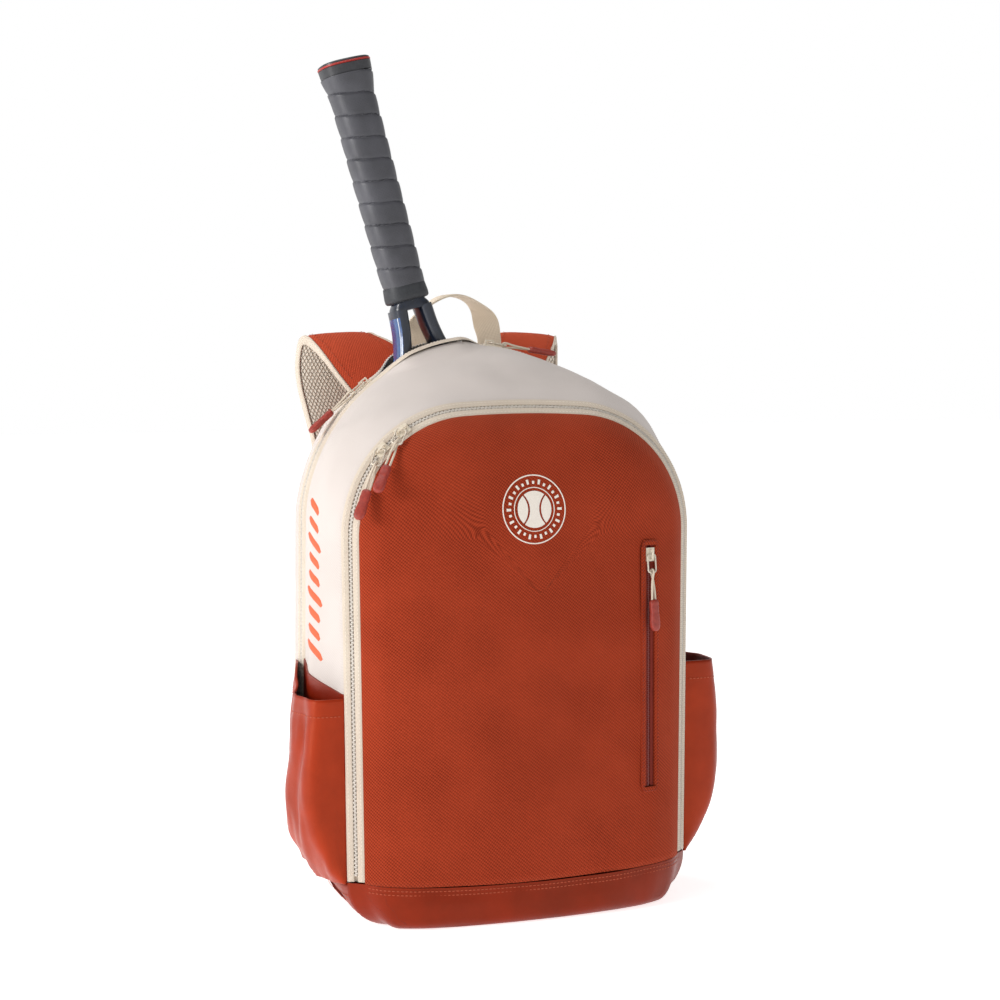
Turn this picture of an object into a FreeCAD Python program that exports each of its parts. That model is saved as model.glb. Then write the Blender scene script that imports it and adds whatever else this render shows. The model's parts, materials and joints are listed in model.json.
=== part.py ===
"""Racket backpack with one tennis racket carried in it, as separate sub-parts.

Millimetres. Origin: middle of the base, on the ground. +X is the viewer's right when facing
the front panel, -Y is the front, +Z is up. Every sub-part is written to parts/NODE.step.
"""
import FreeCAD, Part
import math
import os

Vec = FreeCAD.Vector

# ---------------------------------------------------------------- driving dimensions
# Cross-sections of the bag, each an upright outline across the bag at one depth y:
# half width low down, bottom corner radius, half width at the shoulder, shoulder height,
# shoulder radius, top height.
PANEL_EDGE = (138.0, 28.0, 141.0, 307.0, 94.5, 404.0)
STRIP_EDGE = (149.0, 34.0, 152.0, 307.0, 105.5, 415.0)
BELLY = (160.0, 54.0, 160.0, 318.0, 108.0, 445.0)
MAIN_ZIP = (154.0, 64.0, 151.0, 316.0, 120.0, 459.0)
BACK_EDGE = (142.0, 60.0, 131.0, 318.0, 95.0, 443.0)
Y_PANEL = -82.0
Y_STRIP = -72.0
Y_BELLY = -20.0
Y_MAIN_FRONT, Y_MAIN, Y_MAIN_REAR = 22.0, 30.0, 38.0
Y_BACK = 86.0

SEAM_Z = 36.0            # boot and base band end here, gussets and front panel start
SEAM_GAP = 0.4
GROUND_CUT = 0.5         # outlines run this far below the ground, and parts are cut level at it
WALL = 2.5               # padded fabric wall
# Front panel dome: how far in from the panel's edge, and how far forward of it
DOME = ((0.0, 0.0), (8.0, 10.0), (24.0, 19.0), (52.0, 26.0), (88.0, 30.0))
PANEL_WALL = 3.0
DIVIDER_Y = -34.0        # between the front and main compartments
FLOOR_Z = 24.0           # top of the padded floor that the racket stands on
DOOR_HINGE_Y = -113.5

TAPE_THICK = 1.0
COIL_R = 0.9
COIL_OFF = 1.9           # coil centre to the middle of the zip
COIL_DEPTH = 2.1
ZIP_GAP = 0.8            # half the gap between a zip's two tapes
MAIN_ZIP_END_Z = 120.0   # the main zip's ends on the bag's sides
MOUTH = (-36.0, 4.0)     # open stretch of the main zip, degrees from straight up
MOUTH_SPREAD = 15.0      # each lip stands back this far

SLASH_X, SLASH_Y = 100.0, -104.9
SLASH_LOW, SLASH_HIGH = 99.0, 297.0
SLASH_HALF = 5.0         # half the welt window
SLASH_RECESS = 0.6       # zip tapes lie this far under the panel's face
SLASH_LEAN = 14.0        # degrees that the front panel's side flank turns away from the front

POCKET_RIM = 188.0
POCKET_LOW = 38.0
POCKET_WALL = 1.6

STRAP_WIDTH, STRAP_THICK, MESH_THICK = 58.0, 9.0, 2.5
WEBBING_WIDTH, WEBBING_THICK = 25.0, 1.6

RACKET_LENGTH = 685.0
RACKET_MOUTH = (-44.6, 31.0, 455.0)   # where the racket's axis crosses the bag's mouth
RACKET_TILT, RACKET_LEAN = 13.9, 5.5
RACKET_OUT = 247.3                    # mouth to the end of the grip
HEAD_HALF_LENGTH, HEAD_HALF_WIDTH = 162.0, 117.0
HEAD_END_R = 92.0
HOOP_RADIAL, HOOP_THICK = 11.0, 22.0
STRING_R = 0.65

CORD_DIAMETER = 1.8


# ---------------------------------------------------------------- outlines and sweeps
def outline(section):
    """Side direction, outward side normal, shoulder centre, top radius and its centre."""
    wb, rb, wm, zs, rs, zt = section
    length = math.hypot(wm - wb, zs - rb)
    along = ((wm - wb) / length, (zs - rb) / length)
    normal = (along[1], -along[0])
    cx, cz = wm - rs * normal[0], zs - rs * normal[1]
    top_r = (rs ** 2 - cx ** 2 - (cz - zt) ** 2) / (2 * (cz - zt + rs))
    top_z = zt - top_r
    join = math.degrees(math.atan2(cx, cz - top_z))
    side = math.degrees(math.atan2(normal[0], normal[1]))
    return {"along": along, "normal": normal, "cx": cx, "cz": cz, "top_r": top_r,
            "top_z": top_z, "join": join, "side": side}


def polar(cx, cz, radius, degrees, y):
    """Point at an angle from straight up towards +X, in the plane y."""
    a = math.radians(degrees)
    return Vec(cx + radius * math.sin(a), y, cz + radius * math.cos(a))


def arc_edge(cx, cz, radius, a0, a1, y):
    ends = [polar(cx, cz, radius, a, y) for a in (a0, (a0 + a1) / 2, a1)]
    return Part.Arc(*ends).toShape()


def side_point(section, grow, z, y):
    """Point on the right-hand side line at height z, moved out by grow."""
    wb, rb, wm, zs = section[:4]
    o = outline(section)
    x = wb + (wm - wb) * (z - rb) / (zs - rb)
    return Vec(x + grow * o["normal"][0], y, z + grow * o["normal"][1])


def upper_edges(section, grow, y, z_low):
    """Edges of an outline from its right side at z_low over the top to its left side."""
    o = outline(section)
    zs, rs = section[3], section[4]
    low, high = side_point(section, grow, z_low, y), side_point(section, grow, zs, y)
    mirror = lambda p: Vec(-p.x, p.y, p.z)
    return [
        Part.LineSegment(low, high).toShape(),
        arc_edge(o["cx"], o["cz"], rs + grow, o["side"], o["join"], y),
        arc_edge(0, o["top_z"], o["top_r"] + grow, o["join"], -o["join"], y),
        arc_edge(-o["cx"], o["cz"], rs + grow, -o["join"], -o["side"], y),
        Part.LineSegment(mirror(high), mirror(low)).toShape(),
    ]


def section_wire(section, y, grow=0.0):
    """Whole closed outline, with its rounded bottom corners reaching just below the ground."""
    wb, rb = section[:2]
    edges = upper_edges(section, grow, y, rb)
    right = edges[0].Vertexes[0].Point
    radius = rb + grow
    foot = Vec(right.x - radius, y, -grow - GROUND_CUT)
    bend = Vec(right.x - radius + radius * math.sin(math.pi / 4), y,
               radius - grow - radius * math.cos(math.pi / 4))
    flip = lambda p: Vec(-p.x, p.y, p.z)
    left = flip(right)
    edges.append(Part.Arc(left, flip(bend), flip(foot)).toShape())
    edges.append(Part.LineSegment(flip(foot), foot).toShape())
    edges.append(Part.Arc(foot, bend, right).toShape())
    return Part.Wire(edges)


def cut_wire(section, y, grow, z_low):
    """Outline closed by a straight line across at z_low."""
    edges = upper_edges(section, grow, y, z_low)
    right = edges[0].Vertexes[0].Point
    edges.append(Part.LineSegment(Vec(-right.x, y, right.z), right).toShape())
    return Part.Wire(edges)


def loft(wires):
    return Part.makeLoft(wires, True, True)


def body_loft(grow, overrun=0.0):
    """Solid of the whole bag behind the front zip, grown or shrunk."""
    stations = ((STRIP_EDGE, Y_STRIP - overrun), (BELLY, Y_BELLY), (MAIN_ZIP, Y_MAIN_FRONT),
                (MAIN_ZIP, Y_MAIN_REAR), (BACK_EDGE, Y_BACK + overrun))
    return loft([section_wire(s, y, grow) for s, y in stations])


def box(x0, x1, y0, y1, z0, z1):
    return Part.makeBox(x1 - x0, y1 - y0, z1 - z0, Vec(x0, y0, z0))


def prism(points, direction):
    return Part.Face(Part.makePolygon(points + [points[0]])).extrude(direction)


def arc_solid(profile, cx, cz, radius, a0, a1):
    """Revolves a (grow, y) profile about the line through (cx, cz) parallel to Y."""
    points = [polar(cx, cz, radius + g, a0, y) for g, y in profile]
    face = Part.Face(Part.makePolygon(points + [points[0]]))
    return face.revolve(Vec(cx, 0, cz), Vec(0, 1, 0), a1 - a0)


def line_solid(profile, section, z0, z1, sign):
    """Extrudes a (grow, y) profile along the bag's right (+1) or left (-1) side line."""
    normal = outline(section)["normal"]
    start, end = side_point(section, 0, z0, 0), side_point(section, 0, z1, 0)
    put = lambda g, y: Vec(sign * (start.x + g * normal[0]), y, start.z + g * normal[1])
    return prism([put(g, y) for g, y in profile],
                 Vec(sign * (end.x - start.x), 0, end.z - start.z))


def swept(profile, section, z_low, gaps=()):
    """A profile run up one side, over the top and down the other, leaving out gaps."""
    o = outline(section)
    zs, rs = section[3], section[4]
    solids = [line_solid(profile, section, z_low, zs, s) for s in (1, -1)]
    solids += [arc_solid(profile, o["cx"], o["cz"], rs, o["join"], o["side"]),
               arc_solid(profile, -o["cx"], o["cz"], rs, -o["side"], -o["join"])]
    edges = [-o["join"]] + [a for gap in gaps for a in gap] + [o["join"]]
    for a0, a1 in zip(edges[::2], edges[1::2]):
        solids.append(arc_solid(profile, 0, o["top_z"], o["top_r"], a0, a1))
    return Part.makeCompound(solids)


def rect(a0, a1, b0, b1):
    return [(a0, b0), (a1, b0), (a1, b1), (a0, b1)]


def octagon(a, b, radius):
    return [(a + radius * math.cos(math.radians(t)), b + radius * math.sin(math.radians(t)))
            for t in range(0, 360, 45)]


def to_strip(profile):
    """Turns (across, out) on the slanted front zip strip into (grow, y)."""
    run, rise = STRIP_EDGE[0] - PANEL_EDGE[0], Y_STRIP - Y_PANEL
    length = math.hypot(run, rise)
    c, s = run / length, rise / length
    return [(w * c + n * s, Y_PANEL + w * s - n * c) for w, n in profile]


STRIP_WIDTH = math.hypot(STRIP_EDGE[0] - PANEL_EDGE[0], Y_STRIP - Y_PANEL)
STRIP_MID = STRIP_WIDTH / 2


# ---------------------------------------------------------------- bag body
def mouth_prism(front):
    """Plan shape cut from a lip so that the mouth stands open."""
    o = outline(MAIN_ZIP)
    x0, x1 = [o["top_r"] * math.sin(math.radians(a)) for a in MOUTH]
    y0 = Y_MAIN_FRONT if front else Y_MAIN_REAR
    back = -MOUTH_SPREAD if front else MOUTH_SPREAD
    over = 1.0 if front else -1.0
    plan = [(x0, y0 + over), (x0, y0), (x0 + 20, y0 + back), (x1 - 24, y0 + back), (x1, y0), (x1, y0 + over)]
    return prism([Vec(x, y, 380) for x, y in plan], Vec(0, 0, 100))


def bag_shells():
    shell = body_loft(0).cut(body_loft(-WALL, 2.0))
    low = shell.common(box(-200, 200, -100, 120, 0, SEAM_Z))
    front = shell.common(box(-200, 200, -100, Y_MAIN_FRONT, SEAM_Z, 500)).cut(mouth_prism(True))
    rear = shell.common(box(-200, 200, Y_MAIN_REAR, 120, SEAM_Z, 500)).cut(mouth_prism(False))
    below_zip = shell.common(box(-200, 200, Y_MAIN_FRONT, Y_MAIN_REAR, SEAM_Z, MAIN_ZIP_END_Z))
    return low, front, rear.fuse(below_zip)


def interior(section, y, grow):
    return Part.Face(section_wire(section, y, grow))


def compartment_divider():
    return body_loft(-WALL - 0.4).common(box(-200, 200, DIVIDER_Y - 2, DIVIDER_Y, 0, 500))


def base_foam():
    return body_loft(-WALL - 0.5).common(box(-150, 150, DIVIDER_Y + 0.5, Y_BACK - 1, 0, FLOOR_Z))


def back_panel():
    panel = interior(BACK_EDGE, Y_BACK, 0).extrude(Vec(0, 6, 0))
    return panel.common(box(-200, 200, Y_BACK - 1, Y_BACK + 10, 0, 500))


def back_mesh_pads():
    """Two long pads with an air channel between them."""
    pad = interior(BACK_EDGE, Y_BACK + 6, -14).extrude(Vec(0, 7, 0))
    channel = box(-9, 9, Y_BACK, Y_BACK + 20, 0, 500)
    return pad.cut(channel).common(box(-200, 200, Y_BACK, Y_BACK + 20, 82, 400))


def strap_yoke():
    """Reinforced strip along the top of the back, where straps and haul handle are sewn."""
    yoke = interior(BACK_EDGE, Y_BACK + 6, -3).extrude(Vec(0, 2.4, 0))
    return yoke.common(box(-105, 105, Y_BACK, Y_BACK + 20, 404, 500))


def dome_plan(inset):
    """Plan points of the domed front at the level of the base band, right half."""
    edge = side_point(PANEL_EDGE, 0, SEAM_Z, 0).x
    points = [(STRIP_EDGE[0] - inset, Y_STRIP)]
    points += [(edge - d - inset * 0.8, Y_PANEL - f + inset * 0.9) for d, f in DOME]
    return points


def front_base_band():
    """Coated band round the foot of the domed front, with its floor."""
    def ring(inset, z0, z1):
        right = dome_plan(inset)
        left = [(-x, y) for x, y in reversed(right)]
        return prism([Vec(x, y, z0) for x, y in right + left], Vec(0, 0, z1 - z0))
    rounded = Part.Face(section_wire(STRIP_EDGE, -120, 0)).extrude(Vec(0, 60, 0))
    band = ring(0, 0, SEAM_Z - SEAM_GAP).cut(ring(PANEL_WALL, PANEL_WALL, 60))
    return band.common(rounded)


def side_pocket(sign):
    """Open-topped pocket hugging one side, fullest towards the front."""
    stations = ((POCKET_LOW, 156, 163, 161, 154), (60, 168, 176, 169, 157), (100, 177, 186, 175, 159),
                (150, 177, 186, 175, 159), (POCKET_RIM + 26, 170, 177, 170, 159))

    def solid(inset, raise_floor):
        wires = []
        for z, front, full, mid, rear in stations:
            level = z + (raise_floor if z == POCKET_LOW else 0)
            plan = [(140, -68 + inset), (153 - inset, -68 + inset), (front - inset, -58 + inset),
                    (full - inset, -38), (mid - inset, -5), (rear - inset, 30), (157 - inset, 52 - inset),
                    (140, 52 - inset)]
            points = [Vec(sign * x, y, level) for x, y in plan]
            wires.append(Part.makePolygon(points + [points[0]]))
        return loft(wires)

    bag = body_loft(0.15)
    pocket = solid(0, 0).cut(solid(POCKET_WALL, POCKET_WALL)).cut(bag)
    rim = [Vec(-250, -100, POCKET_RIM - 2), Vec(-250, 80, POCKET_RIM + 16), Vec(-250, 80, 300),
           Vec(-250, -100, 300)]
    return pocket.cut(prism(rim, Vec(500, 0, 0)))


def anchor_tabs():
    """Triangular webbing tabs at the bag's lower back corners."""
    tabs = []
    for sign in (1, -1):
        plan = [(104, 40), (134, 52), (127, 66), (112, 66)]
        tabs.append(prism([Vec(sign * x, Y_BACK + 6, z) for x, z in plan], Vec(0, 3, 0)))
    return Part.makeCompound(tabs)


# ---------------------------------------------------------------- zips
def main_zip_lip(front, profile_y, n0, n1):
    """Stretch of one tape or coil along the open mouth, standing back from the middle."""
    o = outline(MAIN_ZIP)
    shift = -MOUTH_SPREAD if front else MOUTH_SPREAD
    spread = (0, 0.6, 1.0, 1.0, 1.0, 1.0, 1.0, 0.6, 0)
    wires = []
    for i, part in enumerate(spread):
        a = MOUTH[0] + (MOUTH[1] - MOUTH[0]) * i / (len(spread) - 1)
        corners = [polar(0, o["top_z"], o["top_r"] + g, a, y + shift * part)
                   for g, y in rect(n0, n1, *profile_y)]
        wires.append(Part.makePolygon(corners + [corners[0]]))
    return loft(wires)


def main_zip_tapes():
    solids = []
    for front, span in ((True, (Y_MAIN_FRONT, Y_MAIN - ZIP_GAP)), (False, (Y_MAIN + ZIP_GAP, Y_MAIN_REAR))):
        solids.append(swept(rect(-TAPE_THICK, 0, *span), MAIN_ZIP, MAIN_ZIP_END_Z, (MOUTH,)))
        solids.append(main_zip_lip(front, span, -TAPE_THICK, 0))
    return Part.makeCompound(solids)


def main_zip_coils():
    solids = []
    for front, y in ((True, Y_MAIN - COIL_OFF), (False, Y_MAIN + COIL_OFF)):
        solids.append(swept(octagon(-COIL_DEPTH, y, COIL_R), MAIN_ZIP, MAIN_ZIP_END_Z, (MOUTH,)))
        solids.append(main_zip_lip(front, (y - 0.8, y + 0.8), -COIL_DEPTH - 0.8, -COIL_DEPTH + 0.8))
    return Part.makeCompound(solids)


def front_zip_tape(door):
    span = (0.2, STRIP_MID - ZIP_GAP) if door else (STRIP_MID + ZIP_GAP, STRIP_WIDTH - 1.8)
    return swept(to_strip(rect(*span, -TAPE_THICK, 0)), PANEL_EDGE, SEAM_Z + 1.5)


def front_zip_coil(door):
    across = STRIP_MID + (-COIL_OFF if door else COIL_OFF)
    return swept(to_strip(octagon(across, -COIL_DEPTH, COIL_R)), PANEL_EDGE, SEAM_Z + 1.5)


# ---------------------------------------------------------------- front door
def flank(w, n, z):
    """Point on the door's right flank: w across it, n out of it."""
    a = math.radians(SLASH_LEAN)
    return Vec(SLASH_X + w * math.cos(a) + n * math.sin(a),
               SLASH_Y + w * math.sin(a) - n * math.cos(a), z)


def flank_block(w0, w1, n0, n1, z0, z1):
    return prism([flank(w, n, z0) for w, n in rect(w0, w1, n0, n1)], Vec(0, 0, z1 - z0))


def front_panel():
    def dome(grow, back, z_low):
        wires = [cut_wire(PANEL_EDGE, Y_PANEL - f + back, -d - grow, z_low) for d, f in DOME]
        if back:
            wires.insert(0, cut_wire(PANEL_EDGE, Y_PANEL + 5, -DOME[0][0] - grow, z_low))
        return loft(wires)
    panel = dome(0, 0, SEAM_Z + SEAM_GAP).cut(dome(PANEL_WALL, PANEL_WALL, SEAM_Z - 6))
    return panel.cut(flank_block(-SLASH_HALF, SLASH_HALF, -8, 8, SLASH_LOW, SLASH_HIGH))


def slash_pocket_welt():
    outer = flank_block(-9.5, 8.5, 0.35, 1.15, SLASH_LOW - 5, SLASH_HIGH + 5)
    return outer.cut(flank_block(-SLASH_HALF, SLASH_HALF, -5, 5, SLASH_LOW, SLASH_HIGH))


def slash_zip_chain():
    """Both tapes with their coils, set into the welt's window."""
    solids = []
    for sign in (1, -1):
        w0, w1 = sorted((sign * ZIP_GAP, sign * (SLASH_HALF - 0.2)))
        solids.append(flank_block(w0, w1, -SLASH_RECESS - TAPE_THICK, -SLASH_RECESS,
                                  SLASH_LOW + 0.5, SLASH_HIGH - 0.5))
        profile = octagon(sign * COIL_OFF, -SLASH_RECESS - COIL_DEPTH, COIL_R)
        ring = [flank(w, n, SLASH_LOW + 0.5) for w, n in profile]
        solids.append(prism(ring, Vec(0, 0, SLASH_HIGH - SLASH_LOW - 1)))
    return Part.makeCompound(solids)


def slash_pocket_bag():
    outer = box(44, 110, -96.5, -86, SLASH_LOW - 8, SLASH_HIGH + 6)
    hollow = box(45, 109, -95.5, -87, SLASH_LOW - 7, SLASH_HIGH + 5)
    window = box(SLASH_X - SLASH_HALF, SLASH_X + SLASH_HALF, -98, -94, SLASH_LOW, SLASH_HIGH)
    return outer.cut(hollow).cut(window)


# ---------------------------------------------------------------- zip sliders and their pulls
# Each slider in (across, out) from the middle of its zip: flat top plate, post between the
# tapes, plate under the coils, and a bridge that holds the pull's bail.
SLIDER_TOP = rect(-4.3, 4.3, 0.3, 1.8)
SLIDER_POST = rect(-0.45, 0.45, -3.4, 0.3)
SLIDER_UNDER = rect(-4.2, 4.2, -4.6, -3.3)
SLIDER_UNDER_DOOR = rect(-4.2, 0.45, -4.6, -3.3)
BRIDGE_LEG = rect(-0.7, 0.7, 1.8, 4.4)
BRIDGE_BAR = rect(-0.7, 0.7, 4.4, 5.4)
SLIDER_HALF, LEG_IN, LEG_OUT = 5.5, 2.9, 3.9
PIVOT_OUT = 3.1


def slider_pieces(under):
    """Profile and half lengths (from, to) of every block of a slider."""
    return ((SLIDER_TOP, -SLIDER_HALF, SLIDER_HALF), (SLIDER_POST, -2.0, 2.0),
            (under, -SLIDER_HALF, SLIDER_HALF), (BRIDGE_LEG, LEG_IN, LEG_OUT),
            (BRIDGE_LEG, -LEG_OUT, -LEG_IN), (BRIDGE_BAR, -LEG_OUT, LEG_OUT))


def fuse_all(solids):
    return solids[0].multiFuse(solids[1:]).removeSplitter()


def arc_slider(under, cx, cz, radius, angle, place):
    """Slider on a curved stretch; place turns (across, out) into (grow, y)."""
    turn = math.degrees(1 / radius)
    return fuse_all([arc_solid(place(profile), cx, cz, radius, angle + a * turn, angle + b * turn)
                     for profile, a, b in slider_pieces(under)])


def on_strip(profile):
    return to_strip([(w + STRIP_MID, n) for w, n in profile])


def on_main(profile):
    return [(n, Y_MAIN + w) for w, n in profile]


def slash_slider(z):
    return fuse_all([flank_block(min(p[0] for p in profile), max(p[0] for p in profile),
                                 min(p[1] for p in profile) - SLASH_RECESS,
                                 max(p[1] for p in profile) - SLASH_RECESS,
                                 z + a, z + b)
                     for profile, a, b in slider_pieces(SLIDER_UNDER)])


def routed_wire(points):
    """Straight runs joined by tangent arcs, each as large as its two runs allow."""
    edges, start, radii = [], points[0], []
    for before, corner, after in zip(points, points[1:], points[2:]):
        into, out = (before - corner), (after - corner)
        run = min(into.Length, out.Length)
        turn = math.pi - into.getAngle(out)
        radius = 0.45 * run / math.tan(turn / 2)
        into.normalize()
        out.normalize()
        trim = 0.45 * run
        p0, p1 = corner + into * trim, corner + out * trim
        centre_way = (into + out).normalize()
        centre = corner + centre_way * (radius / math.cos(turn / 2))
        middle = centre - centre_way * radius
        edges.append(Part.LineSegment(start, p0).toShape())
        edges.append(Part.Arc(p0, middle, p1).toShape())
        start = p1
        radii.append(round(radius, 2))
    edges.append(Part.LineSegment(start, points[-1]).toShape())
    return Part.Wire(edges), radii


def tube(points, diameter):
    """Round tube along a route, checked against its section times its length."""
    wire, radii = routed_wire(points)
    start = points[0]
    way = (points[1] - points[0]).normalize()
    ring = Part.Wire(Part.makeCircle(diameter / 2, start, way))
    solid = wire.makePipeShell([ring], True, False)
    expected = math.pi * diameter ** 2 / 4 * wire.Length
    print("cord length %.2f volume ratio %.4f radii %s" % (wire.Length, solid.Volume / expected, radii))
    return solid


# Route of a pull's cord, from the tip up round the bail's lower bar and back: (x, y, z)
# with x across the pull, y towards the bag and z against the way the pull points.
PULL_CORD_SIDE = ((-1.7, 0.0, -37.0), (-1.6, -0.4, -28.0), (-1.3, -0.9, -21.5), (-0.7, -1.6, -17.5),
                  (-0.2, -2.1, -14.4), (0.0, -1.15, -12.0))
BAIL_BAR_Z = -14.4
BAIL_WIRE = 1.4
TIP_TOP, TIP_LENGTH = -37.0, 25.0


def pull_cord_route():
    back = [(-x, -y, z) for x, y, z in reversed(PULL_CORD_SIDE)]
    return [Vec(*p) for p in PULL_CORD_SIDE + tuple(back)]


def pull_bail():
    """Wire loop through the slider's bridge."""
    half, top, low, bend = 4.0, 0.0, BAIL_BAR_Z, 2.2
    c = bend * (1 - math.sqrt(0.5))
    p = lambda x, z: Vec(x, 0, z)
    edges = []
    corners = ((1, 1), (1, -1), (-1, -1), (-1, 1))
    z_of = {1: top, -1: low}
    stops = []
    for sx, sz in corners:
        across, upright = p(sx * (half - bend), z_of[sz]), p(sx * half, z_of[sz] - sz * bend)
        middle = p(sx * (half - c), z_of[sz] - sz * c)
        stops.append((across, middle, upright) if sx * sz > 0 else (upright, middle, across))
    for i, (a, m, b) in enumerate(stops):
        edges.append(Part.Arc(a, m, b).toShape())
        edges.append(Part.LineSegment(b, stops[(i + 1) % 4][0]).toShape())
    wire = Part.Wire(Part.__sortEdges__(edges))
    start = wire.Edges[0].Vertexes[0].Point
    way = wire.Edges[0].tangentAt(wire.Edges[0].FirstParameter)
    ring = Part.Wire(Part.makeCircle(BAIL_WIRE / 2, start, way))
    return wire.makePipeShell([ring], True, False)


def pull_tip():
    """Moulded tip, slightly waisted, with a rounded end."""
    stations = ((0.0, 3.3, 2.2), (1.5, 4.0, 2.6), (9.0, 3.9, 2.5), (17.0, 4.5, 2.6), (22.0, 4.2, 2.4),
                (24.2, 3.0, 1.9), (TIP_LENGTH, 1.6, 1.2))
    wires = []
    for down, half_x, half_y in stations:
        c = min(half_x, half_y) * 0.5
        plan = ((half_x, half_y - c), (half_x - c, half_y), (c - half_x, half_y), (-half_x, half_y - c),
                (-half_x, c - half_y), (c - half_x, -half_y), (half_x - c, -half_y), (half_x, c - half_y))
        points = [Vec(x, y, TIP_TOP - down) for x, y in plan]
        wires.append(Part.makePolygon(points + [points[0]]))
    return loft(wires)


def pull_placement(pivot, down, out):
    """Puts a pull with its pivot at a point, pointing down, with its face turned out."""
    z_axis = (down * -1).normalize()
    y_axis = (out * -1)
    y_axis = (y_axis - z_axis * y_axis.dot(z_axis)).normalize()
    x_axis = y_axis.cross(z_axis)
    m = FreeCAD.Matrix(x_axis.x, y_axis.x, z_axis.x, pivot.x, x_axis.y, y_axis.y, z_axis.y, pivot.y,
                       x_axis.z, y_axis.z, z_axis.z, pivot.z, 0, 0, 0, 1)
    return FreeCAD.Placement(m), x_axis


STRIP_OUT = ((Y_STRIP - Y_PANEL) / STRIP_WIDTH, (STRIP_EDGE[0] - PANEL_EDGE[0]) / STRIP_WIDTH)


def strip_slider_spec(angle, down):
    """A slider on the front zip's left shoulder."""
    o = outline(PANEL_EDGE)
    out = polar(0, 0, STRIP_OUT[0], angle, -STRIP_OUT[1])
    (grow, y), = to_strip([(STRIP_MID, PIVOT_OUT)])
    pivot = polar(-o["cx"], o["cz"], PANEL_EDGE[4] + grow, angle, y)
    slider = arc_slider(SLIDER_UNDER_DOOR, -o["cx"], o["cz"], PANEL_EDGE[4], angle, on_strip)
    return slider, pivot, down, out


def main_slider_spec(angle, down):
    """A slider on the main zip's top curve."""
    o = outline(MAIN_ZIP)
    pivot = polar(0, o["top_z"], o["top_r"] + PIVOT_OUT, angle, Y_MAIN)
    slider = arc_slider(SLIDER_UNDER, 0, o["top_z"], o["top_r"], angle, on_main)
    return slider, pivot, down, polar(0, 0, 1, angle, 0)


def slider_specs():
    """Every slider: its solid, its pull's pivot, the way the pull points and its outer side."""
    slash_z = 289.0
    left_main, right_main = MOUTH[0] - 2.4, MOUTH[1] + 2.4
    tangent = lambda a, sign: Vec(sign * math.cos(math.radians(a)), 0, -sign * math.sin(math.radians(a)))
    dip = 2.5
    flank_out = flank(0, 1, 0) - flank(0, 0, 0)
    return {
        "front_zip_upper": strip_slider_spec(-34.0, Vec(-0.50, -0.42, -0.76)),
        "front_zip_lower": strip_slider_spec(-47.0, Vec(-0.42, -0.29, -0.86)),
        "main_zip_left": main_slider_spec(left_main, tangent(left_main - dip, -1)),
        "main_zip_right": main_slider_spec(right_main, tangent(right_main + dip, 1)),
        "slash_zip": (slash_slider(slash_z), flank(0, PIVOT_OUT - SLASH_RECESS, slash_z),
                      Vec(0.02, -0.08, -1), flank_out),
    }


# ---------------------------------------------------------------- haul handle and straps
def ribbon(stations, width, thick):
    """Strip through (centre, width direction, face direction) stations, in flat facets."""
    rings = []
    for centre, across, face in stations:
        a, f = Vec(*across).normalize() * (width / 2), Vec(*face).normalize() * (thick / 2)
        c = Vec(*centre)
        rings.append([c + a + f, c - a + f, c - a - f, c + a - f])
    triangles = [t for q in (rings[0], rings[-1]) for t in ((q[0], q[1], q[2]), (q[0], q[2], q[3]))]
    for before, after in zip(rings, rings[1:]):
        for i, j in ((0, 1), (3, 2), (1, 2), (0, 3)):    # both wide sides split along the same diagonal
            triangles += [(before[i], before[j], after[j]), (before[i], after[j], after[i])]
    faces = [Part.Face(Part.makePolygon([a, b, c, a])) for a, b, c in triangles]
    shell = Part.makeShell(faces)
    shell.fix(1e-6, 1e-7, 1e-5)
    solid = Part.makeSolid(shell)
    if solid.Volume < 0:
        solid.reverse()
    return solid


HANDLE_Z, HANDLE_Y, HANDLE_HALF, HANDLE_RISE = 453.0, 71.0, 34.0, 48.0


def haul_handle():
    """Webbing loop standing over the top of the back."""
    stations = []
    for i in range(13):
        t = math.pi * i / 12
        out = Vec(-math.cos(t), 0, 1.3 * math.sin(t) + 0.15)
        stations.append(((-HANDLE_HALF * math.cos(t), HANDLE_Y, HANDLE_Z + HANDLE_RISE * math.sin(t) ** 0.75),
                         (0, 1, 0), tuple(out)))
    return ribbon(stations, 22.0, 2.2)


STRAP_PATH = (
    # x, y, z of the strap's middle, then how far its outer edge hangs (degrees)
    (-70.0, 103.5, 424.0, 30.0), (-78.0, 103.5, 440.0, 27.0), (-86.0, 104.5, 454.0, 18.0),
    (-91.0, 108.0, 463.5, 8.0), (-92.5, 114.0, 467.0, 2.0), (-93.0, 120.5, 463.0, 0.0),
    (-93.5, 125.0, 453.0, 0.0), (-93.5, 127.0, 440.0, 0.0), (-92.0, 126.0, 424.0, 0.0),
    (-88.0, 121.5, 402.0, 0.0), (-82.0, 118.5, 375.0, 0.0), (-79.0, 118.0, 345.0, 0.0),
    (-80.0, 118.0, 300.0, 0.0), (-90.0, 118.5, 225.0, 0.0), (-98.0, 117.0, 165.0, 0.0))


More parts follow.
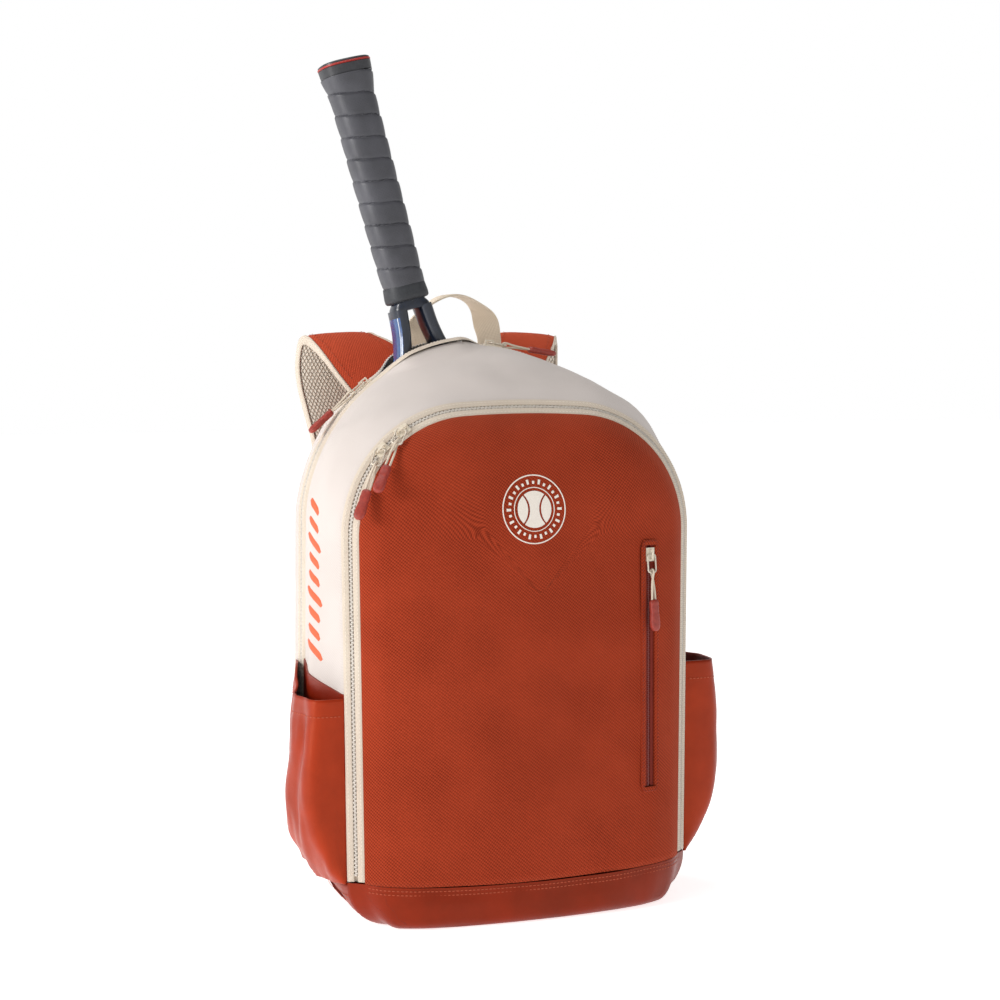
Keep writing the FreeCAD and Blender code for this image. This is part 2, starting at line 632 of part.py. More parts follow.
def strap_stations(sign, shift):
    """Stations along a shoulder strap, moved off its middle surface by shift."""
    line = Part.BSplineCurve()
    line.interpolate([Vec(sign * -x, y, z) for x, y, z, _ in STRAP_PATH])
    knots = [line.parameter(Vec(sign * -x, y, z)) for x, y, z, _ in STRAP_PATH]
    stations = []
    for i in range(2 * len(STRAP_PATH) - 1):
        k, half = i // 2, i % 2
        u = (knots[k] + knots[min(k + half, len(knots) - 1)]) / 2
        roll = (STRAP_PATH[k][3] + STRAP_PATH[min(k + half, len(knots) - 1)][3]) / 2
        along = Vec(*line.tangent(u)[0]).normalize()
        a = math.radians(roll)
        across = Vec(math.cos(a), 0, -sign * math.sin(a))
        across = (across - along * across.dot(along)).normalize()
        face = across.cross(along).normalize()
        centre = line.value(u) + face * shift
        stations.append((tuple(centre), tuple(across), tuple(face)))
    return stations


def strap_pad(sign):
    return ribbon(strap_stations(sign, 0), STRAP_WIDTH, STRAP_THICK - MESH_THICK)


def strap_mesh(sign):
    """Spacer mesh under the pad."""
    return ribbon(strap_stations(sign, -STRAP_THICK / 2 - 0.8), STRAP_WIDTH - 8, MESH_THICK)


BUCKLE_Z = 152.0


def adjuster_buckle(sign):
    """Ladder-lock buckle with three bars."""
    x, y, z = sign * 99.0, 117.0, BUCKLE_Z
    block = box(x - 16, x + 16, y - 3, y + 3, z - 13, z + 11)
    for z0, z1 in ((-9.5, -5.5), (-2.5, 1.0), (4.0, 8.0)):
        block = block.cut(box(x - 13, x + 13, y - 5, y + 5, z + z0, z + z1))
    return block


def strap_webbing(sign):
    """Webbing from the buckle down to the bag's lower corner."""
    stations = (((sign * 99.5, 119.5, 136.0), (1, 0, 0.16 * sign), (0, 1, 0.1)),
                ((sign * 108.0, 112.0, 100.0), (1, 0, 0.2 * sign), (0, 1, 0.15)),
                ((sign * 116.0, 98.5, 67.0), (1, 0, 0.25 * sign), (0, 1, 0.2)))
    return ribbon(stations, WEBBING_WIDTH, WEBBING_THICK)


def webbing_tail(sign):
    """Loose end below the buckle, with a folded and stitched hem."""
    stations = (((sign * 99.0, 124.0, 146.0), (1, 0, 0), (0, 1, 0)),
                ((sign * 99.0, 124.6, 100.0), (1, 0, 0), (0, 1, 0)),
                ((sign * 99.0, 124.0, 52.0), (1, 0, 0), (0, 1, 0)))
    hem = box(sign * 99 - 12.5, sign * 99 + 12.5, 122.4, 125.6, 46.0, 52.0)
    return Part.makeCompound([ribbon(stations, WEBBING_WIDTH, WEBBING_THICK), hem])


# ---------------------------------------------------------------- racket
# Own frame: z = 0 at the head's outer end and RACKET_LENGTH at the grip's end, x across.
HEAD_Z = HEAD_HALF_LENGTH + HOOP_RADIAL / 2
HANDLE_TOP = RACKET_LENGTH - 211.0


def oval():
    """Centres and radii of the head's four arcs, and where they join (degrees)."""
    a, b, r1 = HEAD_HALF_LENGTH, HEAD_HALF_WIDTH, HEAD_END_R
    r2 = ((a - r1) ** 2 + b ** 2 - r1 ** 2) / (2 * (b - r1))
    join = math.degrees(math.atan2(r2 - b, a - r1))
    return a - r1, r1, r2, join


def hoop_arcs(profile):
    end, r1, r2, join = oval()
    b = HEAD_HALF_WIDTH
    return [arc_solid(profile, 0, HEAD_Z + end, r1, -join, join),
            arc_solid(profile, b - r2, HEAD_Z, r2, join, 180 - join),
            arc_solid(profile, 0, HEAD_Z - end, r1, 180 - join, 180 + join),
            arc_solid(profile, r2 - b, HEAD_Z, r2, 180 + join, 360 - join)]


def chamfered(half_a, half_b, c):
    return [(half_a, half_b - c), (half_a - c, half_b), (c - half_a, half_b), (-half_a, half_b - c),
            (-half_a, c - half_b), (c - half_a, -half_b), (half_a - c, -half_b), (half_a, c - half_b)]


def bar(stations):
    """Loft through level chamfered sections: (x, z, half width, half thickness)."""
    wires = []
    for x, z, half_x, half_y in stations:
        points = [Vec(x + a, b, z) for a, b in chamfered(half_x, half_y, min(half_x, half_y) * 0.45)]
        wires.append(Part.makePolygon(points + [points[0]]))
    return loft(wires)


def racket_frame():
    pieces = hoop_arcs(chamfered(HOOP_RADIAL / 2, HOOP_THICK / 2, 3.5))
    for sign in (1, -1):
        pieces.append(bar([(sign * x, z, w, t) for x, z, w, t in
                           ((84, 296, 9, 9), (60, 350, 7, 10.5), (34, 402, 6.2, 11), (17.5, 436, 6.2, 11.5),
                            (13.1, 455, 6.2, 12), (11.2, HANDLE_TOP, 6.4, 12.5))]))
    pieces.append(bar(((0, HANDLE_TOP - 1, 17.6, 12.5), (0, HANDLE_TOP + 6, 13.5, 11.5),
                       (0, RACKET_LENGTH - 10, 13.5, 11.5))))
    return fuse_all(pieces)


def bumper_strip():
    """Guard along the outside of the head's end."""
    end, r1, r2, join = oval()
    r_out = HOOP_RADIAL / 2
    return arc_solid(rect(r_out, r_out + 1.6, -5, 5), 0, HEAD_Z - end, r1, 180 - join, 180 + join)


def half_width_at(z):
    """Half the width inside the hoop at a height, and the same turned on its side."""
    end, r1, r2, join = oval()
    inside = -HOOP_RADIAL / 2 + 0.6
    dz = abs(z - HEAD_Z)
    if dz < r2 * math.cos(math.radians(join)):
        return math.sqrt((r2 + inside) ** 2 - dz ** 2) - (r2 - HEAD_HALF_WIDTH)
    return math.sqrt(max((r1 + inside) ** 2 - (dz - end) ** 2, 0))


def half_length_at(x):
    end, r1, r2, join = oval()
    inside = -HOOP_RADIAL / 2 + 0.6
    x = abs(x)
    if x < r1 * math.sin(math.radians(join)):
        return end + math.sqrt((r1 + inside) ** 2 - x ** 2)
    return math.sqrt((r2 + inside) ** 2 - (x + r2 - HEAD_HALF_WIDTH) ** 2)


def racket_strings():
    """Mains in front of crosses, as sixteen and nineteen taut strings."""
    offset = STRING_R + 0.03
    strings = []
    for i in range(16):
        x = (i - 7.5) * 12.2
        half = half_length_at(x)
        strings.append(Part.makeCylinder(STRING_R, 2 * half, Vec(x, -offset, HEAD_Z - half), Vec(0, 0, 1)))
    for i in range(19):
        z = HEAD_Z + (i - 9) * 14.6
        half = half_width_at(z)
        strings.append(Part.makeCylinder(STRING_R, 2 * half, Vec(-half, offset, z), Vec(1, 0, 0)))
    return Part.makeCompound(strings)


def sleeve(stations, hole):
    """Hollow grip piece round the handle's shaft."""
    return bar(stations).cut(bar(((0, stations[0][1] - 1, *hole), (0, stations[-1][1] + 1, *hole))))


SHAFT = (13.6, 11.6)


def racket_collar():
    z = HANDLE_TOP + 6.5
    return sleeve(((0, z, 18.0, 15.2), (0, z + 12, 17.2, 14.8)), SHAFT)


def racket_grip():
    z = HANDLE_TOP + 18.7
    return sleeve(((0, z, 16.6, 14.6), (0, z + 40, 17.0, 14.8), (0, RACKET_LENGTH - 32, 17.4, 15.2),
                   (0, RACKET_LENGTH - 12.2, 20.5, 17.6)), SHAFT)


def butt_cap():
    z = RACKET_LENGTH - 12
    ring = sleeve(((0, z, 20.8, 17.8), (0, RACKET_LENGTH - 9.9, 21.2, 18.2)), SHAFT)
    lid = bar(((0, RACKET_LENGTH - 9.8, 21.2, 18.2), (0, RACKET_LENGTH - 2, 21.6, 18.6),
               (0, RACKET_LENGTH, 19.5, 16.5)))
    return ring.fuse(lid)


def racket_axis():
    tilt = math.radians(RACKET_TILT)
    way = Vec(-math.sin(tilt), math.tan(math.radians(RACKET_LEAN)) * math.cos(tilt), math.cos(tilt))
    return way.normalize()


def place_racket(shape):
    z_axis = racket_axis()
    x_axis = Vec(1, 0, 0)
    x_axis = (x_axis - z_axis * x_axis.dot(z_axis)).normalize()
    y_axis = z_axis.cross(x_axis)
    origin = Vec(*RACKET_MOUTH) - z_axis * (RACKET_LENGTH - RACKET_OUT)
    m = FreeCAD.Matrix(x_axis.x, y_axis.x, z_axis.x, origin.x, x_axis.y, y_axis.y, z_axis.y, origin.y,
                       x_axis.z, y_axis.z, z_axis.z, origin.z, 0, 0, 0, 1)
    return moved(shape, FreeCAD.Placement(m))


def moved(shape, placement):
    copy = shape.copy()
    copy.Placement = placement
    return copy


# ---------------------------------------------------------------- every node
def build():
    nodes = {}
    nodes["boot"], nodes["gusset_front"], nodes["gusset_rear"] = bag_shells()
    nodes["front_base_band"] = front_base_band()
    nodes["base_foam"] = base_foam()
    nodes["compartment_divider"] = compartment_divider()
    nodes["back_panel"] = back_panel()
    nodes["back_mesh_pads"] = back_mesh_pads()
    nodes["strap_yoke"] = strap_yoke()
    nodes["anchor_tabs"] = anchor_tabs()
    nodes["main_zip_tapes"] = main_zip_tapes()
    nodes["main_zip_coils"] = main_zip_coils()
    for door, name in ((True, "door"), (False, "gusset")):
        nodes["front_zip_tape_" + name] = front_zip_tape(door)
        nodes["front_zip_coil_" + name] = front_zip_coil(door)
    nodes["front_panel"] = front_panel()
    nodes["slash_pocket_welt"] = slash_pocket_welt()
    nodes["slash_zip_chain"] = slash_zip_chain()
    nodes["slash_pocket_bag"] = slash_pocket_bag()
    for name, (slider, pivot, down, out) in slider_specs().items():
        placement, across = pull_placement(pivot, down, out)
        print("pull", name, "pivot", [round(v, 3) for v in pivot], "axis", [round(-v, 5) for v in across])
        nodes[name + "_slider"] = slider
        nodes[name + "_bail"] = moved(pull_bail(), placement)
        nodes[name + "_pull_cord"] = tube([placement.multVec(p) for p in pull_cord_route()], CORD_DIAMETER)
        nodes[name + "_pull_tip"] = moved(pull_tip(), placement)
    nodes["haul_handle"] = haul_handle()
    for sign, side in ((-1, "left"), (1, "right")):
        nodes[side + "_side_pocket"] = side_pocket(sign)
        nodes[side + "_strap_pad"] = strap_pad(sign)
        nodes[side + "_strap_mesh"] = strap_mesh(sign)
        nodes[side + "_strap_buckle"] = adjuster_buckle(sign)
        nodes[side + "_strap_webbing"] = strap_webbing(sign)
        nodes[side + "_webbing_tail"] = webbing_tail(sign)
    for name, shape in (("racket_frame", racket_frame()), ("racket_bumper_strip", bumper_strip()),
                        ("racket_strings", racket_strings()), ("racket_collar", racket_collar()),
                        ("racket_grip", racket_grip()), ("racket_butt_cap", butt_cap())):
        nodes[name] = place_racket(shape)
    return nodes


def report_joints():
    main, strip = outline(MAIN_ZIP), outline(PANEL_EDGE)
    print("main zip centre", 0, round(main["top_z"], 3), "radius", round(main["top_r"], 3),
          "join", round(main["join"], 2))
    print("front zip shoulder centre", round(-strip["cx"], 3), round(strip["cz"], 3),
          "join", round(strip["join"], 2),
          "side", round(strip["side"], 2))
    print("racket axis", [round(v, 6) for v in racket_axis()])


def main():
    os.makedirs("parts", exist_ok=True)
    report_joints()
    for name, shape in build().items():
        solids = shape.Solids
        if not solids or not all(s.isValid() and s.Volume > 0 for s in solids):
            print("CHECK", name, len(solids), [round(s.Volume) for s in solids], shape.isValid())
        shape.exportStep("parts/%s.step" % name)
        b = shape.BoundBox
        print("%-26s %3d solids %9.0f mm3  x %.0f %.0f  y %.0f %.0f  z %.0f %.0f" % (
            name, len(solids), sum(s.Volume for s in solids), b.XMin, b.XMax, b.YMin, b.YMax, b.ZMin, b.ZMax))


main()
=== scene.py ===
"""Looks of the racket backpack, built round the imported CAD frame.

Lengths are in millimetres and become metres when a mesh is made. The origin is the middle
of the base on the ground, +X is the viewer's right, -Y the front and +Z up.
"""
import json
import math

import bmesh
import bpy
import numpy as np
from mathutils import Matrix, Vector, noise
from mathutils.bvhtree import BVHTree


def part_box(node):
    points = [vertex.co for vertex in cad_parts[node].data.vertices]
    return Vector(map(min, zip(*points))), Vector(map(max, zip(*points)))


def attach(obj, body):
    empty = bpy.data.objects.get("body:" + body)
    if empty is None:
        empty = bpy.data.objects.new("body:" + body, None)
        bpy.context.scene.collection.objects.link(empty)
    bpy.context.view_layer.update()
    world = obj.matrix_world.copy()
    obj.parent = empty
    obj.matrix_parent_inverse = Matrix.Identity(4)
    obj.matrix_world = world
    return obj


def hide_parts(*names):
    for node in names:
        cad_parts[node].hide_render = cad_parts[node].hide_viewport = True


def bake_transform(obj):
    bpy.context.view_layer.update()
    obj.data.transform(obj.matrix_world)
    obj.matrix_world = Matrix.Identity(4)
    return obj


MM = 0.001
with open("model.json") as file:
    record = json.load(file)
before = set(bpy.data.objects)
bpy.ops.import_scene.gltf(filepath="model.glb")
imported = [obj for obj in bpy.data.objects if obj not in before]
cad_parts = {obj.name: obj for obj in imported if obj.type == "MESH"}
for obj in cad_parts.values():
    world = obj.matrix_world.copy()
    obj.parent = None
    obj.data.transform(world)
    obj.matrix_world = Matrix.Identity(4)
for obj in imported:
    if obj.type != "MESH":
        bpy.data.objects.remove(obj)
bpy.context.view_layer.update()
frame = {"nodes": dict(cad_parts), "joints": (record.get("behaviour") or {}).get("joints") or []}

# ---------------------------------------------------------------- sizes shared with the CAD
# Upright outlines of the bag: half width low down, bottom corner radius, half width at the
# shoulder, shoulder height, shoulder radius, top height.
PANEL_EDGE = (138.0, 28.0, 141.0, 307.0, 94.5, 404.0)
STRIP_EDGE = (149.0, 34.0, 152.0, 307.0, 105.5, 415.0)
BELLY = (160.0, 54.0, 160.0, 318.0, 108.0, 445.0)
MAIN_ZIP = (154.0, 64.0, 151.0, 316.0, 120.0, 459.0)
BACK_EDGE = (142.0, 60.0, 131.0, 318.0, 95.0, 443.0)
Y_PANEL, Y_STRIP, Y_BELLY = -82, -72, -20
Y_MAIN_FRONT, Y_MAIN, Y_MAIN_REAR, Y_BACK = 22, 30, 38, 86
SEAM_Z = 36.0
DOME = ((0, 0), (8, 10), (24, 19), (52, 26), (88, 30))   # in from the panel's edge, forward of it
DIVIDER_Y, FLOOR_Z = -34.0, 24.0
MAIN_ZIP_END_Z = 120.0
MOUTH = (-36.0, 4.0)      # ends of the open mouth, in degrees from the middle of the crown
MOUTH_SPREAD = 15.0       # how far each lip stands from the closed zip
LIP_RISE = 8.0            # how far the front lip stands up
SLASH_X, SLASH_Y, SLASH_LEAN = 100.0, -104.9, 14.0
SLASH_LOW, SLASH_HIGH, SLASH_HALF, SLASH_RECESS = 99.0, 297.0, 5.0, 0.6
STRAP_WIDTH = 58.0
RACKET_LENGTH, RACKET_OUT = 685.0, 247.3
RACKET_MOUTH = (-44.6, 31.0, 455.0)
HANDLE_TOP = RACKET_LENGTH - 211.0
HEAD_Z, HEAD_HALF_LENGTH, HEAD_HALF_WIDTH, HEAD_END_R = 167.5, 162.0, 117.0, 92.0
HEAD_BAR, BAR_POWER = (11, 22), 2.8      # the hoop's section, across and through it, and its squareness
PULLS = ("front_zip_upper", "front_zip_lower", "main_zip_left", "main_zip_right", "slash_zip")
SIDE = {-1: "left", 1: "right"}
BACKWARD = np.array([0, 1.0, 0])


# ---------------------------------------------------------------- camera, floor and light
def in_scene(name, data):
    """A new object, linked into the scene."""
    made = bpy.data.objects.new(name, data)
    bpy.context.scene.collection.objects.link(made)
    return made


def add_camera():
    data = bpy.data.cameras.new("camera")
    data.sensor_width, data.lens, data.shift_x, data.clip_end = 36.0, 80.4, 0.015, 50.0
    turn, pitch, roll = math.radians(-22.87), math.radians(86.43), math.radians(-0.2)
    camera = in_scene("camera", data)
    camera.matrix_world = (Matrix.Translation((-0.7229, -1.7138, 0.446)) @ Matrix.Rotation(turn, 4, "Z")
                           @ Matrix.Rotation(pitch, 4, "X") @ Matrix.Rotation(roll, 4, "Z"))
    bpy.context.scene.camera = camera


def add_light(name, place, target, size, power, tint=(1, 1, 1)):
    data = bpy.data.lights.new(name, "AREA")
    data.size, data.energy, data.color = size, power, tint
    lamp = in_scene(name, data)
    lamp.location = place
    lamp.rotation_mode = "QUATERNION"
    lamp.rotation_quaternion = (Vector(target) - Vector(place)).to_track_quat("-Z", "Y")


def add_stage():
    """White studio: a bright wall all round the horizon, a dimmer ceiling, a key light from the left
    and a soft light above."""
    world = bpy.data.worlds.new("studio")
    world.use_nodes = True
    tree = world.node_tree
    split = tree.nodes.new("ShaderNodeSeparateXYZ")
    tree.links.new(tree.nodes.new("ShaderNodeTexCoord").outputs["Generated"], split.inputs[0])
    ramp = tree.nodes.new("ShaderNodeMapRange")
    ramp.interpolation_type = "SMOOTHSTEP"
    wall_top, ceiling, wall_light, ceiling_light = 0.18, 0.5, 1.0, 0.2
    for key, value in enumerate((wall_top, ceiling, wall_light, ceiling_light), 1):
        ramp.inputs[key].default_value = value
    tree.links.new(split.outputs["Z"], ramp.inputs[0])
    tree.links.new(ramp.outputs[0], tree.nodes["Background"].inputs["Strength"])
    tree.nodes["Background"].inputs["Color"].default_value = (1, 1, 1, 1)
    bpy.context.scene.world = world
    bpy.context.scene.view_settings.view_transform = "Standard"
    add_light("key", (-2.3, -0.38, 0.9), (0, 0, 0.25), 0.8, 33, (1.0, 0.985, 0.975))
    add_light("top", (-0.3, 0.3, 2.1), (0, 0.05, 0.4), 1.2, 18)
    floor = Piece().grid([[(x, y, -0.2) for x in (-9000, 9000)] for y in (-6000, 12000)])
    look = Look("floor_paper", rough=0.9, Emission_Color=(1, 1, 1, 1), Emission_Strength=0.76)
    look.colour(look.mix(look.noise(look.space(), 0.02, 3), (244, 244, 244), (250, 250, 250)))
    LOOKS["floor"] = look
    floor.make("floor", None, "floor")


# ---------------------------------------------------------------- materials
def linear(rgb):
    return tuple(((c / 255 + 0.055) / 1.055) ** 2.4 if c > 10 else c / 3294.6 for c in rgb) + (1.0,)


class Look:
    """One material: a Principled shader, and short calls for the nodes that feed it."""

    def __init__(self, name, rough=0.6, metallic=0.0, **sockets):
        self.material = bpy.data.materials.new(name)
        self.material.use_nodes = True
        self.tree = self.material.node_tree
        self.shader = self.tree.nodes["Principled BSDF"]
        self.rough = rough
        self.shader.inputs["Roughness"].default_value = rough
        self.shader.inputs["Metallic"].default_value = metallic
        for key, value in sockets.items():
            self.shader.inputs[key.replace("_", " ")].default_value = value

    def node(self, kind, inputs, out=0, **props):
        made = self.tree.nodes.new("ShaderNode" + kind)
        for key, value in props.items():
            setattr(made, key, value)
        for key, value in inputs.items():
            if isinstance(value, bpy.types.NodeSocket):
                self.tree.links.new(value, made.inputs[key])
            else:
                made.inputs[key].default_value = value
        return made.outputs[out]

    def cloth(self):
        """Millimetres along the cloth."""
        return self.node("UVMap", {}, uv_map="mm")

    def space(self):
        """Millimetres along the object's own axes, which are the shared frame's at rest."""
        where = self.tree.nodes.new("ShaderNodeTexCoord").outputs["Object"]
        return self.node("VectorMath", {0: where, 3: 1000.0}, operation="SCALE")

    def math(self, operation, a, b=0.0, c=0.0):
        return self.node("Math", {0: a, 1: b, 2: c}, operation=operation)

    def noise(self, where, scale, detail=2.0, rough=0.5):
        return self.node("TexNoise", {"Vector": where, "Scale": scale, "Detail": detail,
                                      "Roughness": rough})

    def wave(self, where, direction, period):
        """Sine along a direction, from -1 to 1."""
        along = self.node("VectorMath", {0: where, 1: (*direction, 0.0)}, out=1, operation="DOT_PRODUCT")
        return self.math("SINE", self.math("MULTIPLY", along, 2 * math.pi / period))

    def mix(self, share, a, b):
        a, b = [linear(c) if isinstance(c, tuple) else c for c in (a, b)]
        return self.node("Mix", {0: share, 6: a, 7: b}, out=2, data_type="RGBA")

    def remap(self, value, low, high, to_low=0.0, to_high=1.0):
        return self.node("MapRange", {0: value, 1: low, 2: high, 3: to_low, 4: to_high})

    def colour(self, socket):
        self.tree.links.new(socket, self.shader.inputs["Base Color"])

    def roughness(self, value, spread):
        """Roughness varying by spread as value goes from 0 to 1."""
        socket = self.math("MULTIPLY_ADD", value, spread, self.rough - spread / 2)
        self.tree.links.new(socket, self.shader.inputs["Roughness"])

    def bump(self, height, depth):
        """Relief of that many millimetres between height 0 and 1."""
        normal = self.node("Bump", {"Height": height, "Distance": depth * MM, "Strength": 1.0})
        self.tree.links.new(normal, self.shader.inputs["Normal"])


WARM = (1.0, 0.42, 0.24, 1.0)   # orange cloth tints what it reflects


def weave_height(look, where, kind, period):
    """Height of a cloth's threads, 0 to 1."""
    half = lambda s: look.math("MULTIPLY_ADD", s, 0.5, 0.5)
    if kind == "twill":
        rib = half(look.wave(where, (0.62, 0.78), period))
        thread = half(look.wave(where, (0.78, -0.62), period * 0.8))
        return look.math("MULTIPLY_ADD", thread, 0.45, look.math("MULTIPLY", rib, 0.55))
    if kind == "rib":
        rib = look.math("ABSOLUTE", look.wave(where, (1, 0), period * 2))
        pick = half(look.wave(where, (0, 1), period))
        return look.math("MULTIPLY_ADD", pick, 0.35, look.math("MULTIPLY", rib, 0.65))
    crossed = lambda a, b: look.math("MULTIPLY", look.wave(where, a, period * 2),
                                     look.wave(where, b, period * 2))
    if kind == "mesh":
        return look.remap(look.math("ABSOLUTE", crossed((1, 0.58), (1, -0.58))), 0.05, 0.55)
    return half(crossed((1, 0), (0, 1)))


def fabric(name, high, low, kind, period, depth, rough=0.85, sheen=0.12, blotch=0.35,
           tint=(1, 1, 1, 1)):
    """Woven cloth: thread relief, painted shade and highlight on the threads, blotches, slubs and fuzz."""
    look = Look(name, rough, Sheen_Weight=sheen, Sheen_Roughness=0.5, Sheen_Tint=tint,
                Specular_IOR_Level=0.25, Specular_Tint=tint)
    where = look.cloth()
    height = weave_height(look, where, kind, period)
    slub = look.noise(where, 0.9 / period, 3.0, 0.6)
    patch = look.noise(look.space(), 0.02, 3.0)
    # The weave's low threads take the low colour and its high threads the high one: painted shade and
    # highlight of the threads, and for the spacer mesh painted shade in its holes. Slubs and patches are
    # the cloth's own tone.
    shaded = look.mix(height, low, high)
    worn = look.mix(look.math("MULTIPLY", slub, blotch), shaded, low)
    look.colour(look.mix(look.remap(patch, 0.35, 0.75, 0.0, 0.3), worn, high))
    look.roughness(slub, 0.2)
    look.bump(look.math("MULTIPLY_ADD", slub, 0.45, height), depth)
    return look


def coated(name, high, low, rough=0.4):
    """Smooth coated cloth: faint grain, soft scuffs and a semi-gloss face."""
    look = Look(name, rough, Specular_IOR_Level=0.5, Specular_Tint=WARM)
    where = look.space()
    grain = look.noise(where, 1.4, 3.0, 0.6)
    weave = weave_height(look, look.cloth(), "plain", 0.7)
    patch = look.noise(where, 0.018, 4.0, 0.6)
    share = look.math("MULTIPLY_ADD", grain, 0.25, look.remap(patch, 0.3, 0.7, 0, 0.6))
    look.colour(look.mix(share, high, low))
    look.roughness(look.noise(where, 0.06, 4.0, 0.65), 0.24)
    look.bump(look.math("MULTIPLY_ADD", grain, 0.6, weave), 0.07)
    return look


def solid(name, high, low, rough, grain=0.5, depth=0.02, metallic=0.0, **sockets):
    """Moulded, painted or metal finish with fine grain and worn patches."""
    look = Look(name, rough, metallic, **sockets)
    where = look.space()
    fine = look.noise(where, grain, 4.0, 0.65)
    look.colour(look.mix(look.remap(fine, 0.3, 0.7), high, low))
    look.roughness(look.noise(where, grain * 0.3, 3.0), 0.18)
    look.bump(fine, depth)
    return look


# ---------------------------------------------------------------- meshes
def lengths(p):
    """Distance along the rows and down the columns of a grid, as texture coordinates."""
    steps = np.linalg.norm(np.diff(p, axis=1), axis=2)
    u = np.concatenate([np.zeros((len(p), 1)), np.cumsum(steps, 1)], 1)
    u -= u[:, [p.shape[1] // 2]]
    down = np.linalg.norm(np.diff(p, axis=0), axis=2).mean(1)
    v = np.concatenate([[0.0], np.cumsum(down)])
    return np.stack([u, np.repeat(v[:, None], p.shape[1], 1)], 2)


SHARP_ANGLE = 42.0


class Piece:
    """Collects grids of points into one mesh."""

    def __init__(self):
        self.points, self.faces, self.uv, self.slots, self.count = [], [], [], [], 0

    def grid(self, p, look=0, uv=None, caps=False):
        """Quads through rows of points. Faces look along (down the rows) x (along a row)."""
        p = np.asarray(p, float)
        if caps:
            first, last = [np.repeat(p[i:i + 1].mean(1, keepdims=True), p.shape[1], 1)
                           for i in (0, len(p) - 1)]
            p = np.concatenate([first, p, last])
        uv = lengths(p) if uv is None else uv
        r, c = p.shape[:2]
        a = self.count + np.arange(r * c).reshape(r, c)
        quads = np.stack([a[:-1, :-1], a[1:, :-1], a[1:, 1:], a[:-1, 1:]], -1).reshape(-1, 4)
        self.faces += quads.tolist()
        self.slots += [look] * len(quads)
        self.points.append(p.reshape(-1, 3))
        self.uv.append(uv.reshape(-1, 2))
        self.count += r * c
        return self

    def make(self, name, body, looks, slot=None, stands_for=(), thick=0.0, closed=True):
        """The mesh as an object on a body. looks names its finishes, split by spaces. thick gives
        an open sheet a wall on its inner side, in the last of them."""
        looks = [LOOKS[key] for key in looks.split()]
        mesh = bpy.data.meshes.new(name)
        points, uv = np.concatenate(self.points) * MM, np.concatenate(self.uv)
        mesh.from_pydata(points.tolist(), [], self.faces)
        layer = mesh.uv_layers.new(name="mm")
        corner = np.zeros(len(mesh.loops), int)
        mesh.loops.foreach_get("vertex_index", corner)
        layer.data.foreach_set("uv", uv[corner].ravel())
        for look in looks:
            mesh.materials.append(look.material)
        mesh.polygons.foreach_set("material_index", self.slots)
        tidy = bmesh.new()
        tidy.from_mesh(mesh)
        bmesh.ops.remove_doubles(tidy, verts=tidy.verts, dist=2e-6)
        bmesh.ops.dissolve_degenerate(tidy, edges=tidy.edges, dist=1e-7)
        if closed and not thick:
            bmesh.ops.recalc_face_normals(tidy, faces=tidy.faces)
        tidy.to_mesh(mesh)
        tidy.free()
        mesh.shade_smooth()
        mesh.set_sharp_from_angle(angle=math.radians(SHARP_ANGLE))
        made = in_scene(name, mesh)
        if thick:
            wall = made.modifiers.new("wall", "SOLIDIFY")
            wall.thickness, wall.offset = thick * MM, -1.0
            wall.material_offset = len(looks) - 1
            wall.use_quality_normals = True
            apply_modifiers(made)
        if body:
            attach(made, body)
        if stands_for:
            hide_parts(*stands_for)
        return made


def apply_modifiers(made):
    """Bakes the modifiers into the object's mesh."""
    graph = bpy.context.evaluated_depsgraph_get()
    made.data = bpy.data.meshes.new_from_object(
        made.evaluated_get(graph), preserve_all_data_layers=True, depsgraph=graph)
    made.modifiers.clear()


def unit(v):
    return v / np.maximum(np.linalg.norm(v, axis=-1, keepdims=True), 1e-9)


def curve(ts, values, t, flat=False):
    """Smooth curve through values given at ts. flat keeps it from overshooting them."""
    ts, values, t = np.asarray(ts, float), np.asarray(values, float), np.atleast_1d(t)
    h = np.diff(ts)[:, None]
    slope = np.diff(values, axis=0) / h
    inner = (slope[:-1] * h[1:] + slope[1:] * h[:-1]) / (h[:-1] + h[1:])
    if flat:
        same = slope[:-1] * slope[1:] > 0
        inner = np.where(same, 2 * slope[:-1] * slope[1:] / np.where(same, slope[:-1] + slope[1:], 1), 0)
    m = np.concatenate([slope[:1], inner, slope[-1:]])
    i = np.clip(np.searchsorted(ts, t, "right") - 1, 0, len(ts) - 2)
    s = ((t - ts[i]) / h[i, 0])[:, None]
    a, b = values[i], values[i + 1]
    return (a * (2 * s ** 3 - 3 * s ** 2 + 1) + h[i] * m[i] * (s ** 3 - 2 * s ** 2 + s)
            + b * (3 * s ** 2 - 2 * s ** 3) + h[i] * m[i + 1] * (s ** 3 - s ** 2))


def travel(p):
    return np.concatenate([[0.0], np.cumsum(np.linalg.norm(np.diff(p, axis=0), axis=1))])


def spread(line, n):
    """n points evenly spread along a line. Columns after the third don't count as distance."""
    s = travel(line[:, :3])
    even = np.linspace(0, s[-1], n)
    return np.stack([np.interp(even, s, line[:, k]) for k in range(line.shape[1])], 1)


def through(points, n):
    """n points evenly spread on a smooth curve through a few."""
    points = np.asarray(points, float)
    s = travel(points[:, :3])
    return spread(curve(s, points, np.linspace(0, s[-1], 8 * n)), n)


def oblong(width, thick, power=2.6, n=20):
    """Closed rounded cross-section: 2 is an ellipse, more is squarer."""
    a = np.linspace(0, 2 * math.pi, n + 1)
    c, s = [np.sign(v) * abs(v) ** (2 / power) for v in (np.cos(a), np.sin(a))]
    return np.stack([width / 2 * c, thick / 2 * s], 1)


def sweep(path, side, up, section):
    """Cross-sections set along a path. side, up and section may each change from station to station."""
    side, up = np.broadcast_to(side, path.shape), np.broadcast_to(up, path.shape)
    section = np.broadcast_to(section, (len(path),) + np.shape(section)[-2:])
    return path[:, None] + side[:, None] * section[..., :1] + up[:, None] * section[..., 1:]


